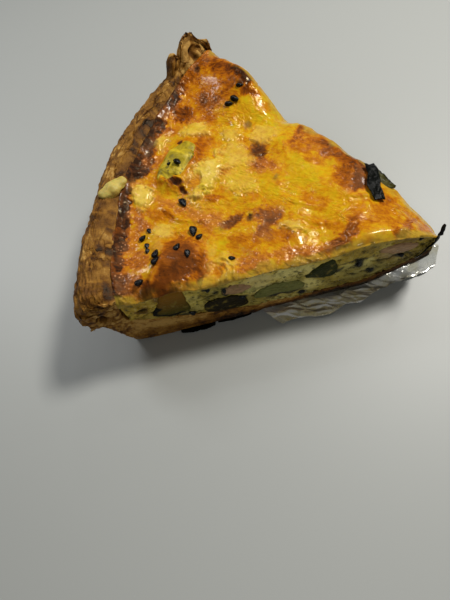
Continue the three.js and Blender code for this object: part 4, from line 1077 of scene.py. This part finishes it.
# ---- lumps on top: balls squashed, squared and roughened
def lumpPoints(plan, rows=44, columns=72):  # ball raised to a power, sized, tilted, turned, with noise
    ball = ballRings(rows, columns)
    ball = np.sign(ball) * np.abs(ball) ** plan["square"]
    ball = ball / np.linalg.norm(ball, axis=-1, keepdims=True) ** 0.35
    shape = ball * np.array(plan["size"]) / 2
    rough = plan["rough"] * deepNoise(*np.moveaxis(shape + plan["angle"], -1, 0), plan["grain"], 3)
    shape = shape * (1 + rough[..., None] / np.maximum(np.linalg.norm(shape, axis=-1, keepdims=True), 1.0))
    tilt, turn = math.radians(plan["tilt"]), math.radians(plan["turn"])
    x, y, z = np.moveaxis(shape, -1, 0)
    y, z = y * math.cos(tilt) - z * math.sin(tilt), y * math.sin(tilt) + z * math.cos(tilt)
    x, y = x * math.cos(turn) - y * math.sin(turn), x * math.sin(turn) + y * math.cos(turn)
    return capped(np.stack([x, y, z], -1) + place(plan["r"], plan["angle"], plan["z"]))


topCourgette = {"r": 93.4, "angle": 2.4, "z": 30.9, "size": (10.0, 18.4, 4.4), "turn": -8, "tilt": 3,
                "square": 0.7, "rough": 1.7, "grain": 4.4}
courgetteMaterial = newMaterial("bakedCourgette", Specular_IOR_Level=0.3, Specular_Tint=(1, 0.95, 0.6, 1))
spot = inMillimetres()
crumb = useGroup(crumbGroup, spot, Size=2.0)
flecks = useGroup(fleckGroup, spot, Size=1.5, Share=0.25)["Mask"]
colour = blend(spread(grain(spot, 4.5, 3.0, bend=0.8), 0.36, 0.62), (0.16, 0.12, 0.003), (0.50, 0.37, 0.016))
colour = blend(spread(crumb["Tone"], 0.4, 0.0, 0.0, 0.6), colour, (0.30, 0.17, 0.012))
colour = blend(flecks * 0.7, colour, (0.07, 0.06, 0.01))
feed(colour, spread(crumb["Tone"], 0.0, 1.0, 0.25, 0.5), crumb["Height"], 0.3)
points, faces = lumpPoints(topCourgette)
makePiece("courgette_on_top", points, faces, courgetteMaterial, ["courgette_top"])

paleLump = {"r": 110.6, "angle": -7.2, "z": 34.6, "size": (11, 5.6, 3.4), "turn": 62, "tilt": 0, "square": 0.7,
            "rough": 1.5, "grain": 4.0}
paleMaterial = newMaterial("paleCheese", Specular_IOR_Level=0.3, Subsurface_Weight=0.15, Subsurface_Scale=0.002)
spot = inMillimetres()
crumb = useGroup(crumbGroup, spot, Size=2.0)
colour = blend(spread(grain(spot, 3.0), 0.3, 0.7), (0.36, 0.26, 0.045), (0.52, 0.42, 0.10))
colour = blend(spread(crumb["Tone"], 0.35, 0.0, 0.0, 0.7), colour, (0.42, 0.24, 0.04))
feed(colour, spread(crumb["Tone"], 0.0, 1.0, 0.35, 0.6), crumb["Height"], 0.3)
points, faces = lumpPoints(paleLump)
makePiece("pale_cheese_on_rim", points, faces, paleMaterial, ["rim_cheese"])

# ---- seeds: small three-sided drops, pressed into the top and caught in the near cut
seedPlan = {"length": 3.2, "width": 1.9, "height": 1.7}
# x, y, turn, size and lift over the cheese
topSeeds = [
    (-32, 2.3, -15, 0.95, 2.0), (-34.6, 0.8, 60, 0.5, 2.2), (-25.6, -11.4, -38, 1.2, 0.1),
    (-33.4, -28.4, 70, 0.9, 0.2), (-32.6, -25, -40, 0.8, -0.2), (-30.4, -31.4, -60, 0.8, -0.3),
    (-29.2, -33.4, -70, 0.7, -0.3), (-24.4, -35.2, 95, 1.1, 0.5), (-23.2, -37.8, 75, 1.1, 0.5),
    (-19, -31, 80, 1.0, 0.5), (-15.3, -31.9, -65, 0.9, 0.5), (-26.2, -45.4, 50, 1.0, 0.3),
    (-17.7, -22, -62, 1.25, 0.0), (-15, -23.2, 60, 0.8, -0.2), (-2.4, -27.9, 20, 0.75, 0.0),
    (-45.0, 34.8, 70, 1.0, 0.4), (-21.4, 34.9, -15, 1.15, 0.0), (-23.2, 33, 10, 1.0, -0.1),
    (-20.6, 39.6, 10, 0.95, -0.6)]
# place along the cut and up it, turn and side
cutSeeds = [
    (28.3, 18.2, 100, -1), (23.4, 12.4, 60, -1), (14, 17, 30, -1), (72.9, 22.2, 80, -1), (47.2, 8.2, 20, -1),
    (9, 25.3, 110, -1), (85.8, 12.2, 40, -1), (78.1, 25.4, 70, -1), (68, 14.8, 10, -1), (60, 21, 20, 1),
    (86, 18.5, 70, 1), (35, 21, 110, 1), (49, 11, 10, 1)]


def seedShape(rows=9, columns=12):  # ball, narrower to one end, with three soft edges along it
    ball = ballRings(rows, columns)
    about = np.arctan2(ball[..., 1], ball[..., 0])
    wide = (1 + 0.22 * np.cos(3 * about)) * (1 - 0.38 * ball[..., 2])
    return np.stack([ball[..., 2] * seedPlan["length"] / 2, ball[..., 0] * wide * seedPlan["width"] / 2,
                     ball[..., 1] * wide * seedPlan["height"] / 2], -1)


seedParts = []
for middleX, middleY, turn, size, lift in topSeeds:
    shape = seedShape() * size * (0.95 + 0.1 * chance.random())
    c, s = math.cos(math.radians(turn)), math.sin(math.radians(turn))
    x, y, z = np.moveaxis(shape, -1, 0)
    r, angle = np.hypot(tipX - middleX, middleY), np.degrees(np.arctan2(middleY, tipX - middleX))
    middle = np.array([middleX, middleY, topAt(r, angle) + 0.35 + lift])
    seedParts.append(capped(np.stack([x * c - y * s, x * s + y * c, z], -1) + middle))
for s, z, turn, side in cutSeeds:
    shape = seedShape() * (0.66 + 0.2 * chance.random())
    c, t = math.cos(math.radians(turn)), math.sin(math.radians(turn))
    a, b, out = np.moveaxis(shape, -1, 0)
    seedParts.append(capped(onCut(s + a * c - b * t, z + a * t + b * c, out - 0.1, side)))
seedMaterial = newMaterial("blackSeed", Specular_IOR_Level=0.16)
pits = grain(inMillimetres(), 0.35, 3.0)
colour = blend(spread(pits, 0.4, 0.7), (0.0015, 0.002, 0.0022), (0.008, 0.010, 0.012))
feed(colour, spread(pits, 0.3, 0.7, 0.18, 0.32), pits, 0.12)
points, faces = joined(seedParts)
makePiece("seeds", points, faces, seedMaterial)
print("lumps and seeds done")

# ---- charred leaf: a creased strip over the cheese, with a thin film along the far cut
leafPlan = {"start": (31.4, 15.8), "end": (37.0, 3.4), "width": 4.4, "lift": 0.5}
charMaterial = newMaterial("charredLeaf", Specular_IOR_Level=0.08)
veins = grain(inMillimetres(), 0.7, 5.0, bend=1.2)
colour = blend(spread(veins, 0.45, 0.75), (0.001, 0.0014, 0.001), (0.005, 0.006, 0.004))
colour = blend(mask("film"), colour, (0.075, 0.068, 0.018))
feed(colour, spread(veins, 0.3, 0.7, 0.08, 0.24), veins, 0.2)


def thickened(grid, thick):  # a sheet given a thickness: grid above and below, closed round its edge
    lower = grid - np.array([0, 0, thick])
    return slab(lower, grid, [0, 1])[:4]


u, v = np.meshgrid(np.linspace(0, 1, 64), np.linspace(-0.5, 0.5, 30), indexing="ij")
start, end = np.array(leafPlan["start"]), np.array(leafPlan["end"])
way = end - start
wayLength = np.hypot(*way)
wide = leafPlan["width"] * (0.55 + 0.45 * np.sin(np.pi * (0.12 + 0.72 * u)))
wide = wide * (1 + 0.15 * noise(9 * u, 3 * np.sign(v), 2.0, 1.2))
x = start[0] + way[0] * u - way[1] / wayLength * wide * v + 0.5 * np.sin(7 * u)
y = start[1] + way[1] * u + way[0] / wayLength * wide * v
r = np.hypot(tipX - x, y)
angle = np.minimum(half, np.degrees(np.arctan2(y, tipX - x)))
fold = 0.55 * np.abs(np.sin(2.4 * np.pi * u + 2.5 * v)) + 0.5 * np.abs(v) ** 1.3
fold = fold + 0.3 * np.abs(noise(x, y, 7.0, 1.6)) + 0.12 * noise(x, y, 1.0, 0.9)
points, faces, i, j = thickened(np.stack([x, y, topAt(r, angle) + leafPlan["lift"] + fold], -1), 0.35)
makePiece("leaf_charred", points, faces, charMaterial, ["charred_leaf"],
          {"film": np.zeros(len(points))})

u, v = np.meshgrid(np.linspace(0, 1, 60), np.linspace(0, 1, 14), indexing="ij")
s = 31.5 - 9.5 * u
wide = ((2.9 * np.sin(np.pi * np.clip(u * 0.94 + 0.06, 0, 1)) ** 0.6 + 0.3)
        * (1 + 0.25 * noise(6 * u, 0, 3.0, 0.8)))
out = 0.35 - wide * v
z = topAt(s, np.float64(half)) + 0.25 + 0.45 * np.abs(noise(s, 4 * v, 2.0, 1.3))
z = z + 0.8 * bell((v - 0.1) / 0.3) * (0.4 + 0.6 * noise(s, 0, 0, 1.7) ** 2)
points, faces, i, j = thickened(onCut(s, z, out, 1), 0.25)
film = (0.75 + 0.25 * noise(s, 3 * v, 0, 0.9))[i, j] * smooth(v[i, j] * 4)
makePiece("leaf_film", points, faces, charMaterial, (), {"film": film})

# ---- burnt strip at the point: a flat ribbon along a bent path
stripPlan = {"wide": 1.5, "thick": 0.55, "path": [
    (8.9, 0.7, 13.8), (7.8, 0.9, 15.6), (6.6, 0.8, 17.5), (5.6, 0.6, 19.4), (5, 0.9, 21), (4.4, 1.1, 23),
    (4.2, 0.9, 25), (4.1, 1.2, 26.6), (3.9, 1, 28), (3.7, 0.6, 29.8), (3.8, 0.8, 31.2)]}
steps = np.linspace(0, 1, 60)
way = bent(stripPlan["path"], steps * (len(stripPlan["path"]) - 1), len(stripPlan["path"]))
turnRound = np.linspace(0, 2 * np.pi, 14, endpoint=False)
taper = ((0.45 + 0.55 * np.sin(np.pi * (0.15 + 0.75 * steps)))[:, None]
         * (1 + 0.3 * noise(9 * steps, 0, 0, 0.7))[:, None])
twist = 0.9 * np.sin(5 * steps)[:, None]
a = stripPlan["wide"] / 2 * np.cos(turnRound) * taper
b = stripPlan["thick"] / 2 * np.sin(turnRound) * taper
rings = onCut(way[:, :1] + a * np.cos(twist) - b * np.sin(twist), way[:, 2:3] + 0.12 * np.cos(turnRound),
              way[:, 1:2] + a * np.sin(twist) + b * np.cos(twist), -1)
points, faces = capped(rings)
makePiece("strip_burnt", points, faces, charMaterial, ["burnt_strip"], {"film": np.zeros(len(points))})

# ---- burnt flakes of pastry that stick out from under the near cut
flakePlan = [{"from": 79.5, "to": 92.6, "out": 1.9, "z": 0.35}, {"from": 66, "to": 78.6, "out": 0.8, "z": 0.3}]
flakeParts = []
for plan in flakePlan:
    u, v = np.meshgrid(np.linspace(0, 1, 70), np.linspace(0, 1, 16), indexing="ij")
    s = plan["from"] + (plan["to"] - plan["from"]) * u
    reach = plan["out"] * (0.35 + 0.65 * np.sin(np.pi * u) ** 0.5) * (1 + 0.5 * deepNoise(s, 0, 3.0, 2.6, 3, 0.8))
    out = -1.6 + (reach + 1.6) * v
    z = plan["z"] + 0.35 + 0.3 * noise(s, out, 2.0, 1.4)
    points, faces, i, j = thickened(onCut(s, z, out, -1), 0.3)
    flakeParts.append((points, faces))
points, faces = joined(flakeParts)
makePiece("flakes_burnt", points, faces, charMaterial, (), {"film": np.zeros(len(points))})

# ---- foil: a crumpled sheet under the near edge and the raised point
foilPlan = {"inner": -5.5, "crumple": 1.0, "reach": [
    (61.5, 0.5), (58.5, 4.4), (56, 7.2), (52.5, 6.2), (46, 7), (41, 8.2), (36.5, 7), (32.5, 5.4), (27.5, 6.2),
    (23, 4.2), (17, 2.8), (12, 1.6), (7, 1.2), (2, 0.4), (-2.6, -1.5)]}
foilMaterial = newMaterial("crumpledFoil", Metallic=0.68)
spot = inMillimetres()
creases = made("TexVoronoi", "Distance", {"Vector": inMillimetres((0.6, 1.3, 1.0), 35), "Scale": 0.2},
               feature="DISTANCE_TO_EDGE")
colour = blend(spread(grain(spot, 9.0), 0.42, 0.62), (0.90, 0.90, 0.87), (0.72, 0.67, 0.45))
height = grain(spot, 2.6, 3.0, 0.5, 1.0) * 1.6 + spread(creases, 0.0, 0.1, 0.0, 0.5)
feed(colour, spread(grain(spot, 2.0), 0.3, 0.7, 0.14, 0.3), height, 0.12)
u, v = np.meshgrid(np.linspace(0, 1, 280), np.linspace(0, 1, 64), indexing="ij")
edge = np.array(foilPlan["reach"])
where = u * (len(edge) - 1)
s = np.interp(where, np.arange(len(edge)), edge[:, 0])
reach = np.interp(where, np.arange(len(edge)), edge[:, 1])
out = foilPlan["inner"] + (reach - foilPlan["inner"]) * v
raised = 0.75 * liftAt(np.hypot(s, out)) * smooth((0.95 - v) / 0.75)
crumple = 0.35 * deepNoise(s, 2 * out, 5.0, 9.0, 2) * bell(raised / 9)
finer = 0.6 + 0.4 * smooth((18 - s) / 8)
large = 1.3 * np.abs(deepNoise(s + 0.5 * out, out - 0.4 * s, raised, 8.0, 2, 0.5))
small = 0.8 * finer * np.abs(noise(0.8 * s + out, 1.2 * out, 3 + raised, 2.8))
facets = foilPlan["crumple"] * (0.5 - large - small)
z = 1.05 + raised + crumple * smooth(v * 3) + facets * smooth((v - 0.25) * 3) * (0.8 + 0.2 * smooth((18 - s) / 8))
edgeWave = 0.5 * noise(s, 0, 4.0, 1.7, eased=False) * smooth((v - 0.7) / 0.3)
points, faces, i, j = thickened(onCut(s, np.maximum(z, 0.25), out + edgeWave, -1), 0.18)
makePiece("foil_crumpled", points, faces, foilMaterial, ["foil"], sharp=18)
print("leaf, strip and foil done")
